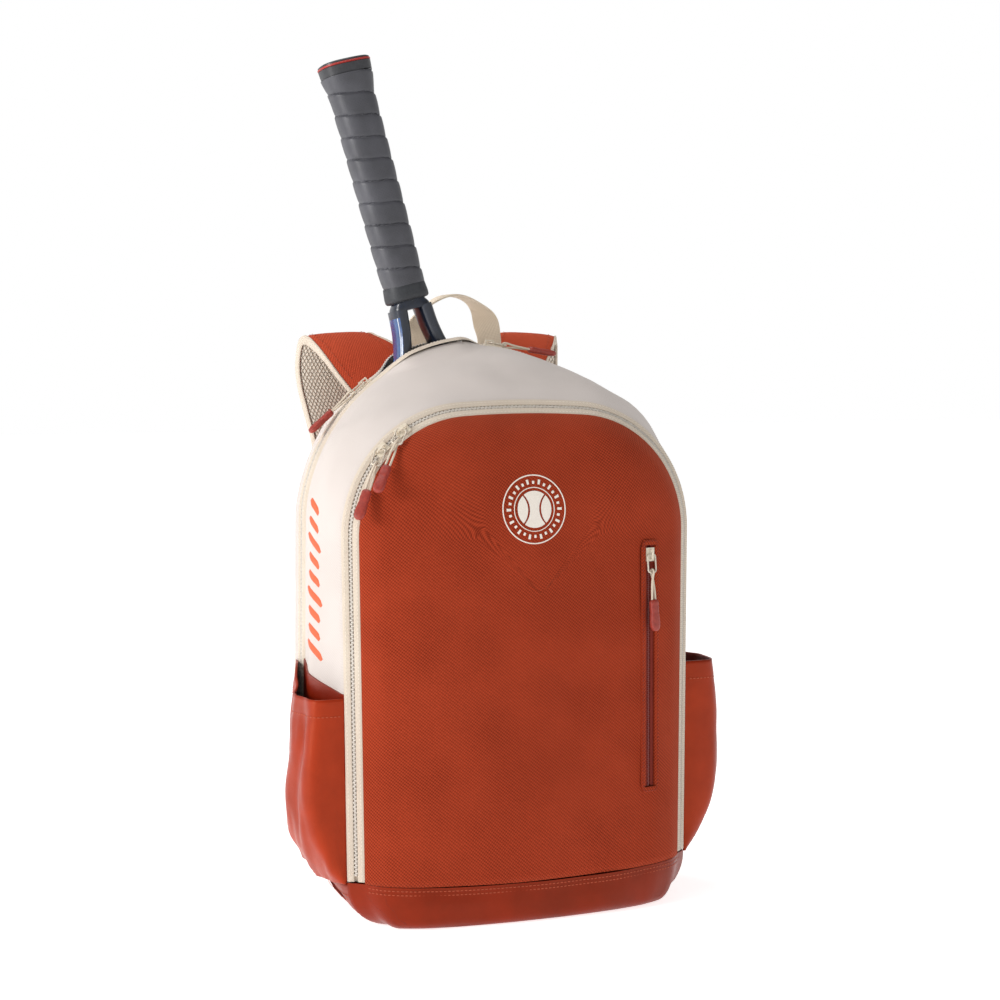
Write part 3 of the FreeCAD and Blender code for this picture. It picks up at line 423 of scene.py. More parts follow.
def tube(path, up, radius, n=8):
    """Round tube along a path."""
    along = unit(np.gradient(path, axis=0))
    side = unit(np.cross(along, np.broadcast_to(up, path.shape)))
    return sweep(path, side, unit(np.cross(side, along)), oblong(2 * radius, 2 * radius, 2, n))


def wobble(p, size, amount, seed):
    """Soft random height at each point of a grid, from -amount to amount."""
    shape = p.shape[:-1]
    flat = (p.reshape(-1, 3) / np.asarray(size)).tolist()
    shift = Vector((seed * 7.3, seed * 3.1, seed * 1.7))
    return np.array([noise.noise(Vector(q) + shift) for q in flat]).reshape(shape) * 2 * amount


def smoothstep(x, low, high):
    t = np.clip((x - low) / (high - low), 0, 1)
    return t * t * (3 - 2 * t)


def grid_normals(p):
    """Unit normals of a grid, on the side that its faces look to."""
    return unit(np.cross(np.gradient(p, axis=0), np.gradient(p, axis=1)))


def stitches(piece, path, normal, look, pitch=3.4, length=2.3, width=0.75):
    """A row of separate stitches along a path, lying on a surface with those normals."""
    height = 0.5
    s = travel(path)
    normal = np.broadcast_to(normal, path.shape)
    centres = np.arange(pitch / 2, s[-1], pitch)
    pick = lambda a, d: np.stack([np.interp(centres + d, s, a[:, k]) for k in range(3)], 1)
    up = unit(pick(normal, 0.0))
    side = unit(np.cross(pick(path, length / 2) - pick(path, -length / 2), up))
    diamond = ((0.5, 0), (0, 0.5), (-0.5, 0), (0, -0.5), (0.5, 0))
    rows = []
    for share, full in ((-0.5, 0.3), (-0.3, 1.0), (0.3, 1.0), (0.5, 0.3)):
        middle = pick(path, share * length) - up * (1 - full) * height * 0.4
        rows.append([middle + side * a * width * full + up * b * height * full for a, b in diamond])
    rows = np.array(rows)
    for k in range(len(centres)):
        piece.grid(rows[:, :, k], look)


# ---------------------------------------------------------------- outlines of the bag
def arc(x, z, r, a0, a1, n):
    """Points (x, z) on a circle, its angles counted clockwise from straight up."""
    return [(x + r * math.sin(a), z + r * math.cos(a)) for a in np.linspace(a0, a1, n)]


def half_outline(section):
    """Right half of an outline, from the middle of its floor to the middle of its top."""
    wb, rb, wm, zs, rs, zt = section
    length = math.hypot(wm - wb, zs - rb)
    nx, nz = (zs - rb) / length, -(wm - wb) / length
    cx, cz = wm - rs * nx, zs - rs * nz
    top_r = (rs ** 2 - cx ** 2 - (cz - zt) ** 2) / (2 * (cz - zt + rs))
    top_z = zt - top_r
    join, side = math.atan2(cx, cz - top_z), math.atan2(nx, nz)
    return np.array([(0, 0)] + arc(wb - rb, rb, rb, math.pi, side, 24)
                    + arc(cx, cz, rs, side, join, 60) + arc(0, top_z, top_r, join, 0, 60))


def full_outline(section, n, z0=None, grow=0.0):
    """Points and outward normals (x, z), from the right foot over the top to the left foot.
    Without z0 it starts and ends in the middle of the floor."""
    half = half_outline(section)
    tangent = unit(np.gradient(half, axis=0))
    normal = np.stack([tangent[:, 1], -tangent[:, 0]], 1)
    s = travel(half)
    start = 0.0 if z0 is None else np.interp(z0, half[1:60, 1], s[1:60])
    even = np.linspace(start, s[-1], n)
    half, normal = [np.stack([np.interp(even, s, v[:, k]) for k in (0, 1)], 1) for v in (half, normal)]
    normal = unit(normal)
    flip = np.array([-1, 1])
    xz = np.concatenate([half, (half * flip)[-2::-1]])
    normal = np.concatenate([normal, (normal * flip)[-2::-1]])
    normal[n - 1] = (0, 1)
    return xz + normal * grow, normal


def upright(xz, y):
    """Points (x, z) set at a depth."""
    return np.stack([xz[:, 0], np.full(len(xz), y), xz[:, 1]], 1)


STATIONS = ((Y_STRIP, STRIP_EDGE), (Y_BELLY, BELLY), (Y_MAIN_FRONT, MAIN_ZIP),
            (Y_MAIN_REAR, MAIN_ZIP), (Y_BACK, BACK_EDGE))


def section_at(y):
    return curve([s[0] for s in STATIONS], [s[1] for s in STATIONS], y, flat=True)[0]


def shell(y_rows, z0=None):
    """Points and outward normals of the bag's surface for rows of depths y."""
    cols = y_rows.shape[1]
    ys = np.linspace(y_rows.min(), y_rows.max(), 30)
    outlines = [full_outline(section_at(y), (cols + 1) // 2, z0) for y in ys]
    take = lambda a: np.stack([[np.interp(y_rows[:, c], ys, a[:, c, k]) for c in range(cols)]
                               for k in (0, 1)])
    (x, z), (nx, nz) = [take(np.stack(values)) for values in zip(*outlines)]
    p = np.stack([x.T, y_rows, z.T], 2)
    return p, np.stack([nx.T, 0 * y_rows, nz.T], 2)


def spread_at(x, z):
    """How far the mouth's lips stand apart there, 0 to 1."""
    crown_r, ease = 152, 30
    left, right = [crown_r * math.sin(math.radians(a)) for a in MOUTH]
    return (smoothstep(x, left, left + ease) * smoothstep(-x, -right, -right + ease)
            * (z > MAIN_ZIP[5] - crown_r + 60))


def strip_place(xz, normal, across, out):
    """Points on the slanted front zip strip: across it from the panel's edge, out of its face."""
    run, rise = STRIP_EDGE[0] - PANEL_EDGE[0], Y_STRIP - Y_PANEL
    c, s = run / math.hypot(run, rise), rise / math.hypot(run, rise)
    g = across * c + out * s
    return upright(xz + normal * g, Y_PANEL + across * s - out * c)


STRIP_WIDTH = math.hypot(STRIP_EDGE[0] - PANEL_EDGE[0], Y_STRIP - Y_PANEL)


# ---------------------------------------------------------------- the finishes
# A woven cloth's low colour is the painted shade of its low threads, and also the tone of its slubs.
ORANGE, ORANGE_LOW = (184, 69, 41), (102, 28, 13)
CREAM, CREAM_LOW = (220, 211, 206), (188, 178, 171)
LOOKS = {
    "twill": fabric("panel_twill_cloth", ORANGE, ORANGE_LOW, "twill", 2.1, 0.34, tint=WARM),
    "strap": fabric("strap_cloth", (214, 92, 62), (156, 54, 34), "twill", 1.6, 0.2, tint=WARM),
    "cream": fabric("cream_cloth", CREAM, CREAM_LOW, "plain", 0.62, 0.12, sheen=0.1, blotch=0.25),
    "tape": fabric("zip_tape_cloth", (226, 214, 198), (184, 168, 150), "twill", 1.1, 0.15),
    "binding": fabric("binding_cloth", (228, 216, 200), (180, 164, 148), "rib", 0.9, 0.15),
    "webbing": fabric("webbing_cloth", (246, 230, 208), (206, 188, 164), "rib", 1.3, 0.22),
    "mesh": fabric("spacer_mesh", (244, 234, 220), (172, 154, 136), "mesh", 3.4, 0.9, blotch=0.15),
    "lining": fabric("lining_cloth", (120, 34, 20), (74, 18, 10), "plain", 0.5, 0.08, rough=0.6),
    "red_tape": fabric("red_tape_cloth", (150, 50, 34), (100, 28, 18), "twill", 0.9, 0.12),
    "coated": coated("coated_cloth", (168, 50, 21), (118, 28, 10), 0.36),
    "base": coated("base_cloth", (138, 33, 11), (96, 19, 5), 0.36),
    "thread_orange": fabric("orange_thread", (204, 98, 66), (140, 50, 30), "rib", 0.5, 0.06),
    # dark thread, also used as painted shade in the band's corner seams
    "thread_dark": fabric("dark_thread_and_seam_shade", (132, 40, 24), (92, 24, 12), "rib", 0.5, 0.06),
    "thread_cream": fabric("cream_thread", (240, 232, 220), (200, 186, 168), "rib", 0.5, 0.06),
    "coil": solid("coil_nylon", (212, 204, 194), (176, 168, 158), 0.42, 0.8, 0.03),
    "red_coil": solid("red_coil_nylon", (140, 40, 26), (96, 24, 14), 0.4, 0.8, 0.03),
    "metal": solid("slider_enamel", (232, 222, 204), (204, 190, 168), 0.32, 0.7, 0.03, Coat_Weight=0.3),
    "bail": solid("bail_wire", (224, 214, 198), (186, 174, 158), 0.35, 0.7, 0.02, metallic=0.25),
    "cord": fabric("pull_cord_cloth", (232, 220, 202), (178, 162, 142), "twill", 0.7, 0.12),
    "rubber": solid("pull_rubber", (164, 58, 44), (128, 38, 28), 0.5, 0.5, 0.05),
    "print": solid("cream_print", (240, 232, 222), (224, 214, 202), 0.6, 1.1, 0.05),
    "orange_print": solid("orange_print", (214, 96, 48), (196, 82, 40), 0.6, 1.1, 0.05),
    "buckle": solid("buckle_plastic", (226, 214, 198), (206, 192, 174), 0.38, 0.6, 0.03),
    "paint": solid("racket_navy", (24, 33, 50), (16, 21, 32), 0.3, 0.2, 0.01, Coat_Weight=0.25),
    "blue": solid("racket_blue", (44, 84, 140), (34, 66, 112), 0.22, 0.2, 0.01, Coat_Weight=0.6),
    "stripe": solid("racket_stripe", (206, 214, 224), (186, 194, 206), 0.25, 0.3, 0.01, Coat_Weight=0.6),
    "accent": solid("racket_orange", (222, 98, 48), (204, 84, 40), 0.25, 0.3, 0.01, Coat_Weight=0.6),
    "bumper": solid("bumper_plastic_finish", (40, 42, 48), (28, 30, 34), 0.5, 0.6, 0.05),
    "string": solid("string_nylon", (226, 222, 206), (206, 200, 182), 0.35, 1.0, 0.02),
    "collar": solid("collar_rubber_finish", (50, 52, 56), (38, 40, 44), 0.55, 0.5, 0.06),
    "cap": solid("cap_plastic_finish", (52, 52, 56), (38, 38, 42), 0.4, 0.5, 0.04),
    "cap_rim": solid("cap_rim_finish", (170, 44, 36), (140, 34, 28), 0.4, 0.5, 0.03),
}


def grip_look():
    """Grey overgrip: perforated tacky skin that darkens along each turn's edge."""
    look = Look("overgrip_wrap", 0.42, Specular_IOR_Level=0.5)
    where = look.space()
    fine = look.noise(where, 1.2, 4.0, 0.7)
    patch = look.noise(where, 0.05, 3.0)
    look.colour(look.mix(look.remap(patch, 0.3, 0.7), (74, 74, 80), (60, 60, 65)))
    look.roughness(fine, 0.2)
    across, along = [look.wave(look.cloth(), direction, 3.0) for direction in ((1, 0), (0, 1))]
    holes = look.remap(look.math("MULTIPLY", across, along), 0.5, 0.9)
    look.bump(look.math("MULTIPLY_ADD", holes, -0.5, fine), 0.12)
    return look


LOOKS["grip"] = grip_look()


# ---------------------------------------------------------------- boot, gussets and band
def gusset(front):
    """Side and top of the bag in front of the main zip, or behind it. Gives its grid of points."""
    edge, _ = full_outline(MAIN_ZIP, 75, SEAM_Z)
    cols = len(edge)
    lips = MOUTH_SPREAD * spread_at(edge[:, 0], edge[:, 1])
    if front:
        y0, y1 = np.full(cols, float(Y_STRIP)), Y_MAIN_FRONT - lips
    else:
        low = 1 - smoothstep(edge[:, 1], MAIN_ZIP_END_Z - 6, MAIN_ZIP_END_Z + 2)
        y0 = Y_MAIN_REAR + lips - low * (Y_MAIN_REAR - Y_MAIN_FRONT - 0.4)
        y1 = np.full(cols, float(Y_BACK))
    t = np.concatenate([[0, 0.012, 0.03, 0.06], np.linspace(0.1, 0.9, 17), [0.94, 0.97, 0.988, 1]])[:, None]
    y_rows = y0 + t * (y1 - y0)
    p, normal = shell(y_rows, SEAM_Z)
    edge_dip = 1.6 * np.exp(-((y_rows - y0) / 3.0) ** 2) + 1.2 * np.exp(-((y_rows - y1) / 3.0) ** 2)
    belly = np.sin(np.pi * t) ** 0.8
    side = smoothstep(-p[..., 2], -330, -230)
    soft = wobble(p, (60, 34, 120), 1.3, 3) * belly + wobble(p, (22, 18, 60), 0.5, 5) * belly
    folds = side * belly * 1.1 * np.sin(p[..., 1] / 11.0 + 1.4 * np.sin(p[..., 2] / 37.0))
    flange = LIP_RISE * spread_at(p[..., 0], p[..., 2]) * smoothstep(t, 0.9, 1.0) * front
    flange -= 1.2 * (flange > 0) * np.exp(-((t - 0.9) / 0.03) ** 2)
    shoulder = (6.0 * belly * smoothstep(p[..., 0], 40, 90) * (1 - smoothstep(p[..., 0], 128, 156))
                * smoothstep(p[..., 2], 350, 400) * front)
    p += normal * (soft + folds * 0.6 - edge_dip + flange + shoulder)[..., None]
    node = "gusset_front" if front else "gusset_rear"
    Piece().grid(p).make(node + "_cloth", "bag", "cream lining", "cream_fabric", (node,), thick=2.5)
    return p


def boot():
    """Coated foot of the bag, wrapping under its floor and up to the seam."""
    ys = np.concatenate([[Y_STRIP, Y_STRIP + 1, Y_STRIP + 4], np.linspace(-62, 76, 18), [82, 85, Y_BACK]])
    rows = []
    for y in ys:
        xz, _ = full_outline(section_at(y), 160)
        half = xz[:160]
        keep = half[half[:, 1] < SEAM_Z - 0.5]
        top = (np.interp(SEAM_Z - 0.4, half[:60, 1], half[:60, 0]), SEAM_Z - 0.4)
        right = spread(np.concatenate([keep, [top]]), 34)
        rows.append(upright(np.concatenate([right[::-1], (right * (-1, 1))[1:]]), y))
    p = np.array(rows)
    lift = smoothstep(p[..., 2], 4, 20)
    p -= grid_normals(p) * (wobble(p, (26, 20, 26), 0.9, 9) * lift)[..., None]
    p[..., 2] = np.maximum(p[..., 2], 0)
    p[..., 0] *= 1 - 0.05 * np.exp(-((p[..., 2] - 20) / 14) ** 2) * smoothstep(p[..., 1], -66, -34)
    Piece().grid(p[:, ::-1]).make("boot_cloth", "bag", "base lining", "coated_fabric", ("boot",), thick=2.5)
    seam = Piece()
    for end in (2, -3):
        path = p[1:-1, end]
        out = np.array([math.copysign(1, path[0, 0]), 0, 0.1])
        stitches(seam, path + out * 0.35, out, 0)
        stitches(seam, path + out * 0.35 - (0, 0, 3.0), out, 0)
    seam.make("boot_stitches", "bag", "thread_orange", "coated_fabric")


def dome(d):
    """How far the front bulges forward at a distance in from the panel's edge."""
    return curve([q[0] for q in DOME], [[q[1]] for q in DOME], d)[:, 0]


def band():
    """Coated band round the foot of the domed front."""
    edge, round_r = PANEL_EDGE[0], 8.0
    d = np.array([0, 1, 2.5, 5, 8, 12, 16, 20, 24, 31, 38, 45, 52, 62, 72, 88])
    right = spread(np.concatenate([[(STRIP_EDGE[0], Y_STRIP), (143.5, -77)],
                                   np.stack([edge - d, Y_PANEL - dome(d)], 1),
                                   [(25, -113.4), (0, -113.6)]]), 60)
    line = np.concatenate([right, (right * (-1, 1))[-2::-1]])
    heights = (36.15, 35.9, 33.4, 31, 27, 23, 19, 15, 11, 8, 5.4, 3.2, 1.6, 0.6, 0.1)
    foot = half_outline(STRIP_EDGE)[:26]
    rows = []
    for z in heights:
        half = np.interp(z, foot[1:, 1], foot[1:, 0])
        inset = round_r - math.sqrt(max(round_r ** 2 - max(round_r - z, 0) ** 2, 0))
        full = 0.5 * smoothstep(-line[:, 1], 77, 98)
        x = line[:, 0] * (half + (STRIP_EDGE[0] - half) * full) / STRIP_EDGE[0]
        y = line[:, 1] + inset * smoothstep(-line[:, 1], 70, 100) * 0.9
        rows.append(np.stack([x, y, np.full(len(x), z)], 1))
    for share in (0.15, 0.5, 1.0):
        last = rows[len(heights) - 1].copy()
        last[:, 1] += (Y_STRIP - last[:, 1]) * share
        last[:, 2] = 0.0
        rows.append(last)
    p = np.array(rows)
    bulge = np.sin(np.pi * np.clip(p[..., 2] / 36, 0, 1)) * 1.0
    front = smoothstep(-p[..., 1], 76, 90)
    p[..., 1] -= bulge * front + wobble(p, (40, 30, 16), 0.8, 12) * front * (p[..., 2] > 1)
    dip = 4.0 * (1 - (p[..., 0] / 140) ** 2) * smoothstep(p[..., 2], 14, 36)
    p[..., 2] -= np.clip(dip, 0, 4)
    lip = p[:1].copy()
    lip[..., 1] += 7.0 * front[:1]
    lip[..., 0] *= 0.965
    p = np.concatenate([lip, p])
    made = Piece().grid(p[:, ::-1]).make("base_band_cloth", "bag", "base lining", "coated_fabric",
                                         ("front_base_band",), thick=2.6)
    for v in made.data.vertices:
        v.co.z = max(v.co.z, 0.0)
    seam = Piece()
    path = p[3, 6:-6] + (0, -0.3, 0)
    out = unit(np.stack([path[:, 0] * 0.006, -np.ones(len(path)), 0 * path[:, 0]], 1))
    stitches(seam, path, out, 0)
    stitches(seam, path - (0, 0, 3.2), out, 0)
    last = p.shape[1] - 1
    out = grid_normals(p)
    # The corner seams are stitched in dark thread that stands for the shade in the seam's gap: painted
    # shade.
    for top, foot in ((2, 15), (9, 17)):
        cols = np.linspace(top, foot, 13).round().astype(int)
        for pick in (cols, last - cols):
            line, up = p[np.arange(1, 14), pick], out[np.arange(1, 14), pick]
            stitches(seam, through(line + up * 0.2, 40), up[6], 1, pitch=2.4, width=0.9)
    seam.make("base_band_stitches", "bag", "thread_orange thread_dark", "coated_fabric")


# ---------------------------------------------------------------- zips
TAPE_SEAM = {"pitch": 3.0, "length": 2.0}


def front_zip():
    xz, normal = full_outline(PANEL_EDGE, 150, SEAM_Z + 1.5)
    on_strip = lambda across, out: strip_place(xz, normal, across, out)
    face = unit(on_strip(0, 1) - on_strip(0, 0))
    across = unit(on_strip(1, 0) - on_strip(0, 0))
    halves = (("door", "front_door", (2.0, 0.4), (
        (-1.2, -0.9), (-0.4, -0.4), (0.4, 0.25), (2.2, 0.35), (5.2, 0.2), (5.7, -0.1), (5.75, -2.3),
        (7.3, -2.4))), ("gusset", "bag", (12.4, 0.45), (
            (7.5, -2.4), (9.15, -2.3), (9.2, -0.1), (9.7, 0.2), (12.4, 0.35), (14.0, 0.3),
            (STRIP_WIDTH + 0.6, -0.9))))
    for edge, body, seam, stations in halves:
        piece = Piece().grid([on_strip(w, n) for w, n in stations])
        stitches(piece, on_strip(*seam), face, 1, **TAPE_SEAM)
        node = "front_zip_tape_" + edge
        piece.make(node + "_cloth", body, "tape thread_cream", "zip_tape", (node,), closed=False)
    for side, (edge, body, _, _) in zip((-1, 1), halves):
        chain = Piece()
        half_teeth(chain, on_strip(STRIP_WIDTH / 2, 0), across, face, side, reach=2.1, high=-0.1)
        node = "front_zip_coil_" + edge
        chain.make(node + "_teeth", body, "coil", "zip_coil", (node,))


def half_teeth(piece, path, across, out, side, look=0, reach=1.7, deep=-2.2, high=-0.35):
    """One side's teeth of a zip: every second bar of the chain."""
    pitch = 1.6
    s = travel(path)
    offset = 0.25 if side < 0 else 0.75
    at = (np.arange(int(s[-1] / pitch / 2) - 1) + offset) * 2 * pitch
    pick = lambda v: np.stack([np.interp(at, s, k) for k in np.broadcast_to(v, path.shape).T], 1)
    c, a, o = pick(path), unit(pick(across)), unit(pick(out))
    t = unit(np.cross(a, o))
    rows = []
    for w, top in ((reach, high - 0.8), (reach * 0.6, high), (-0.5, high), (-1.1, high - 0.8)):
        base = c + a * w * side
        rows.append([base + t * dx + o * dz for dx, dz in
                     ((-0.95, deep), (-0.7, top), (0.7, top), (0.95, deep), (-0.95, deep))])
    rows = np.array(rows)
    for k in range(len(at)):
        piece.grid(rows[:, :, k], look, caps=True)


def main_zip():
    xz, normal = full_outline(MAIN_ZIP, 150, MAIN_ZIP_END_Z)
    part = spread_at(xz[:, 0], xz[:, 1])
    tapes, chain = Piece(), Piece()
    for sign, edge, tilt, rise in ((1, Y_MAIN_FRONT, -12.0, LIP_RISE), (-1, Y_MAIN_REAR, 50.0, 0.0)):
        a = np.radians(tilt) * part
        way = np.stack([normal[:, 0] * np.sin(a), sign * np.cos(a), normal[:, 1] * np.sin(a)], 1)
        face = np.stack([normal[:, 0] * np.cos(a), -sign * np.sin(a), normal[:, 1] * np.cos(a)], 1)
        base = np.stack([xz[:, 0] + normal[:, 0] * rise * part, edge - sign * MOUTH_SPREAD * part,
                         xz[:, 1] + normal[:, 1] * rise * part], 1)
        rows = np.array([base + way * w + face * (n - 0.9 * part[:, None] * max(-w, 0.0)) for w, n in
                         ((-2.0, -0.9), (0.2, -0.1), (1.5, 0.3), (4.0, 0.3), (6.0, 0.1), (6.3, -0.2),
                          (6.3, -1.2), (0, -1.3))])
        tapes.grid(rows if sign > 0 else rows[::-1])
        stitches(tapes, base + way * 2.2 + face * 0.4, face, 1, **TAPE_SEAM)
        half_teeth(chain, base + way * 8.0, way, face, -1, deep=-1.8, high=0.0, reach=1.8)
        chain.grid(tube(base + way * 6.6 - face * 0.5, face, 0.7, 6), caps=True)
    tapes.make("main_zip_tape_cloth", "bag", "tape thread_cream", "zip_tape", ("main_zip_tapes",),
               closed=False)
    chain.make("main_zip_teeth", "bag", "coil", "zip_coil", ("main_zip_coils",))
    ends = Piece()
    for s in (1, -1):
        x = s * (MAIN_ZIP[0] + 0.8)
        z = np.linspace(MAIN_ZIP_END_Z - 12, MAIN_ZIP_END_Z + 5, 8)
        y = np.linspace(Y_MAIN - 9, Y_MAIN + 9, 8)
        crown = [math.sin(math.pi * i / 7) ** 0.4 for i in range(8)]
        g = np.array([[(x + s * 0.9 * crown[i] * crown[j] - s * 0.4, b, a) for j, b in enumerate(y)]
                      for i, a in enumerate(z)])
        ends.grid(g if s < 0 else g[:, ::-1])
    ends.make("main_zip_end_tabs", "bag", "coated", "coated_fabric", thick=0.8)


# ---------------------------------------------------------------- front panel and its pocket
def flank(w, n, z):
    """Point on the panel's slanted flank: across the pocket's zip, out of the cloth, and a height."""
    a = math.radians(SLASH_LEAN)
    return np.array([SLASH_X + w * math.cos(a) + n * math.sin(a),
                     SLASH_Y + w * math.sin(a) - n * math.cos(a), z])


FLANK_OUT = flank(0, 1, 0) - flank(0, 0, 0)
FLANK_ACROSS = flank(1, 0, 0) - flank(0, 0, 0)


def front_panel():
    xz, normal = full_outline(PANEL_EDGE, 84, SEAM_Z + 0.4)
    d = np.array([0, 0.5, 1.5, 3, 5, 8, 12, 16, 20, 24, 31, 38, 45, 52, 60, 68, 76, 84, 88])
    f = dome(d)
    f[1:5] += (0.5, 0.9, 0.8, 0.4)
    run = np.concatenate([[0], np.cumsum(np.hypot(np.diff(d), np.diff(f)))])
    rows, uv = [], []
    for inset, fwd, far in zip(d, f, run):
        rows.append(upright(xz - normal * inset, Y_PANEL - fwd))
        uv.append(xz - normal * far)
    last, last_uv = rows[-1], uv[-1]
    target = np.stack([0 * last[:, 0], 0 * last[:, 0] + Y_PANEL - 31.6, np.minimum(last[:, 2], 262)], 1)
    for t in (0.12, 0.25, 0.4, 0.55, 0.7, 0.85, 1.0):
        ease = 1 - (1 - t) ** 2
        q = last + (target - last) * (t, ease, t)
        rows.append(q)
        uv.append(last_uv + (target - last)[:, ::2] * t)
    p, uv = np.array(rows), np.array(uv)
    inner = smoothstep(np.arange(len(p))[:, None], 2, 12)
    p[..., 1] += (wobble(p, (70, 70, 70), 1.1, 21) + wobble(p, (30, 30, 34), 0.35, 23)) * inner
    dip = 4.0 * (1 - (p[..., 0] / 140) ** 2) * (1 - smoothstep(p[..., 2], SEAM_Z, 100))
    p[..., 2] = np.maximum(p[..., 2], SEAM_Z + 0.4) - np.clip(dip, 0, 4)
    panel = Piece().grid(p[:, ::-1], uv=uv[:, ::-1])
    made = panel.make("front_panel_cloth", "front_door", "twill lining", "panel_twill", ("front_panel",),
                      thick=3.0)
    surface = BVHTree.FromPolygons([tuple(v.co) for v in made.data.vertices],
                                   [tuple(q.vertices) for q in made.data.polygons])
    window = Piece()
    loop = [(w * SLASH_HALF, n) for w, n in ((-1, -9), (1, -9), (1, 9), (-1, 9), (-1, -9))]
    window.grid([[flank(w, n, z) for w, n in loop] for z in (SLASH_LOW, SLASH_HIGH)], caps=True)
    cutter = window.make("window_cutter", None, "twill")
    cut = made.modifiers.new("window", "BOOLEAN")
    cut.object, cut.operation, cut.solver = cutter, "DIFFERENCE", "EXACT"
    apply_modifiers(made)
    bpy.data.objects.remove(cutter)
    return surface


def drop(surface, x, z, lift):
    """Point of the front panel's face at (x, z), raised off it."""
    hit, normal, _, _ = surface.ray_cast(Vector((x * MM, -0.3, z * MM)), Vector((0, 1, 0)))
    normal = normal if normal.y < 0 else -normal
    return np.array(hit) / MM + np.array(normal) * lift


def slash_pocket():
    mid = (SLASH_LOW + SLASH_HIGH) / 2
    half_z = (SLASH_HIGH - SLASH_LOW) / 2 + 1.8
    half_w, proud = SLASH_HALF + 1.8, 0.75
    corners = [(half_w, half_z), (-half_w, half_z), (-half_w, -half_z), (half_w, -half_z)]
    path = []
    for (w0, z0), (w1, z1) in zip(corners, corners[1:] + corners[:1]):
        n = 50 if abs(z1 - z0) > 20 else 9
        for t in np.linspace(0.02, 0.98, n):
            path.append(flank(w0 + (w1 - w0) * t, proud, mid + z0 + (z1 - z0) * t))
    path = np.array(path + path[:1])
    away = path - flank(0, proud, mid)
    side = np.where(abs(away[:, 2:]) > half_z - 1.0, np.array([0, 0, 1.0]) * np.sign(away[:, 2:]),
                    FLANK_ACROSS * np.sign(away @ FLANK_ACROSS)[:, None])
    welt = Piece().grid(sweep(path, side, FLANK_OUT, oblong(4.4, 1.7, 3.0, 12)))
    stitches(welt, path + side * 1.1 + FLANK_OUT * 0.85, FLANK_OUT, 1, pitch=3.2, length=2.2)
    welt.make("slash_welt_cloth", "front_door", "twill thread_dark", "panel_twill", ("slash_pocket_welt",))
    chain = Piece()
    z = np.linspace(SLASH_LOW + 0.6, SLASH_HIGH - 0.6, 60)
    line = lambda w, n: np.array([flank(w, n, a) for a in z])
    for s in (1, -1):
        rows = [line(s * w, n - SLASH_RECESS) for w, n in
                ((4.9, -0.9), (4.9, -0.1), (3.4, 0.0), (1.9, -0.1), (1.75, -0.5), (1.7, -2.6), (0.2, -2.7))]
        chain.grid(rows, 0)
        half_teeth(chain, line(0, -SLASH_RECESS), FLANK_ACROSS, FLANK_OUT, s, look=1)
    chain.make("slash_zip_tape_and_teeth", "front_door", "red_tape red_coil", "red_zip",
               ("slash_zip_chain",), closed=False)
    pouch = Piece()
    lo, hi = [np.array(v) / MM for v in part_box("slash_pocket_bag")]
    centre, half = (lo + hi) / 2, (hi - lo) / 2 - 0.4
    ring = oblong(2 * half[0], 2 * half[2], 9, 56)
    rows = np.array([upright(centre[::2] + ring * k, centre[1] + half[1] * y) for k, y in
                     ((0.3, -0.75), (0.8, -0.8), (0.96, -1), (1, -0.7), (1, 0.7), (0.96, 1), (0.8, 0.85),
                      (0.3, 0.8))])
    window = (abs(rows[..., 0] - SLASH_X) < 8) & (rows[..., 1] < centre[1])
    rows[..., 1] += np.where(window, 2.2, 0)
    pouch.grid(rows, caps=True)
    pouch.make("slash_pouch_cloth", "front_door", "lining", "lining", ("slash_pocket_bag",))


def badge(surface):
    """Plain tennis-ball icon printed on the panel: two rings with ticks between, and a seamed disc."""
    cx, cz = -5.0, 329.0
    outer_ring, inner_ring = (26.4, 27.4), (16.9, 17.6)
    ticks, tick_r, long_tick, short_tick = 28, 20.0, 23.9, 22.4
    ball_r, seam_r, seam_off, gap = 14.6, 16.0, 20.8, 0.8
    piece = Piece()

    def ring(r, lift, a):
        return np.array([drop(surface, cx + r * math.sin(t), cz + r * math.cos(t), lift) for t in a])

    def band(r0, r1, a):
        piece.grid([ring(r, lift, a) for r, lift in
                    ((r0, 0.02), (r0 + 0.15, 0.3), (r1 - 0.15, 0.3), (r1, 0.02))])

    for edges in (outer_ring, inner_ring):
        band(*edges, np.linspace(0, 2 * math.pi, 73))
    for k in range(ticks):
        band(tick_r, long_tick if k % 2 else short_tick,
             2 * math.pi * k / ticks + np.array([-0.045, 0.0, 0.045]))
    # the disc is cut into three by the two seams, each an arc centred outside it
    for part in (-1, 0, 1):
        rows = []
        for v in np.linspace(-1, 1, 41):
            z = v * ball_r * 0.995
            edge = math.sqrt(ball_r ** 2 - z ** 2)
            bend = seam_off - math.sqrt(max(seam_r ** 2 - z ** 2, 0.01))
            if part == 0:
                x0, x1 = -min(edge, bend - gap), min(edge, bend - gap)
            else:
                x0, x1 = sorted((part * edge, part * min(edge, bend + gap)))
            rows.append([drop(surface, cx + x0 + (x1 - x0) * u, cz + z, 0.3)
                         for u in np.linspace(0, 1, 17)])
        piece.grid(np.array(rows)[:, ::-1])
    piece.make("ball_badge_print", "front_door", "print", "cream_fabric", closed=False)


# ---------------------------------------------------------------- side pockets
# height, then how far out the pocket stands at its front, fullest, middle and rear
POCKET_PLAN = ((35, 152.5, 160, 157, 151), (48, 161, 168, 163, 154), (62, 168, 176, 169, 155),
               (100, 176, 184, 174, 156), (150, 176, 183, 173, 156), (214, 170, 174, 166, 156))
POCKET_FOOT, POCKET_TOP = 35.0, 196.0


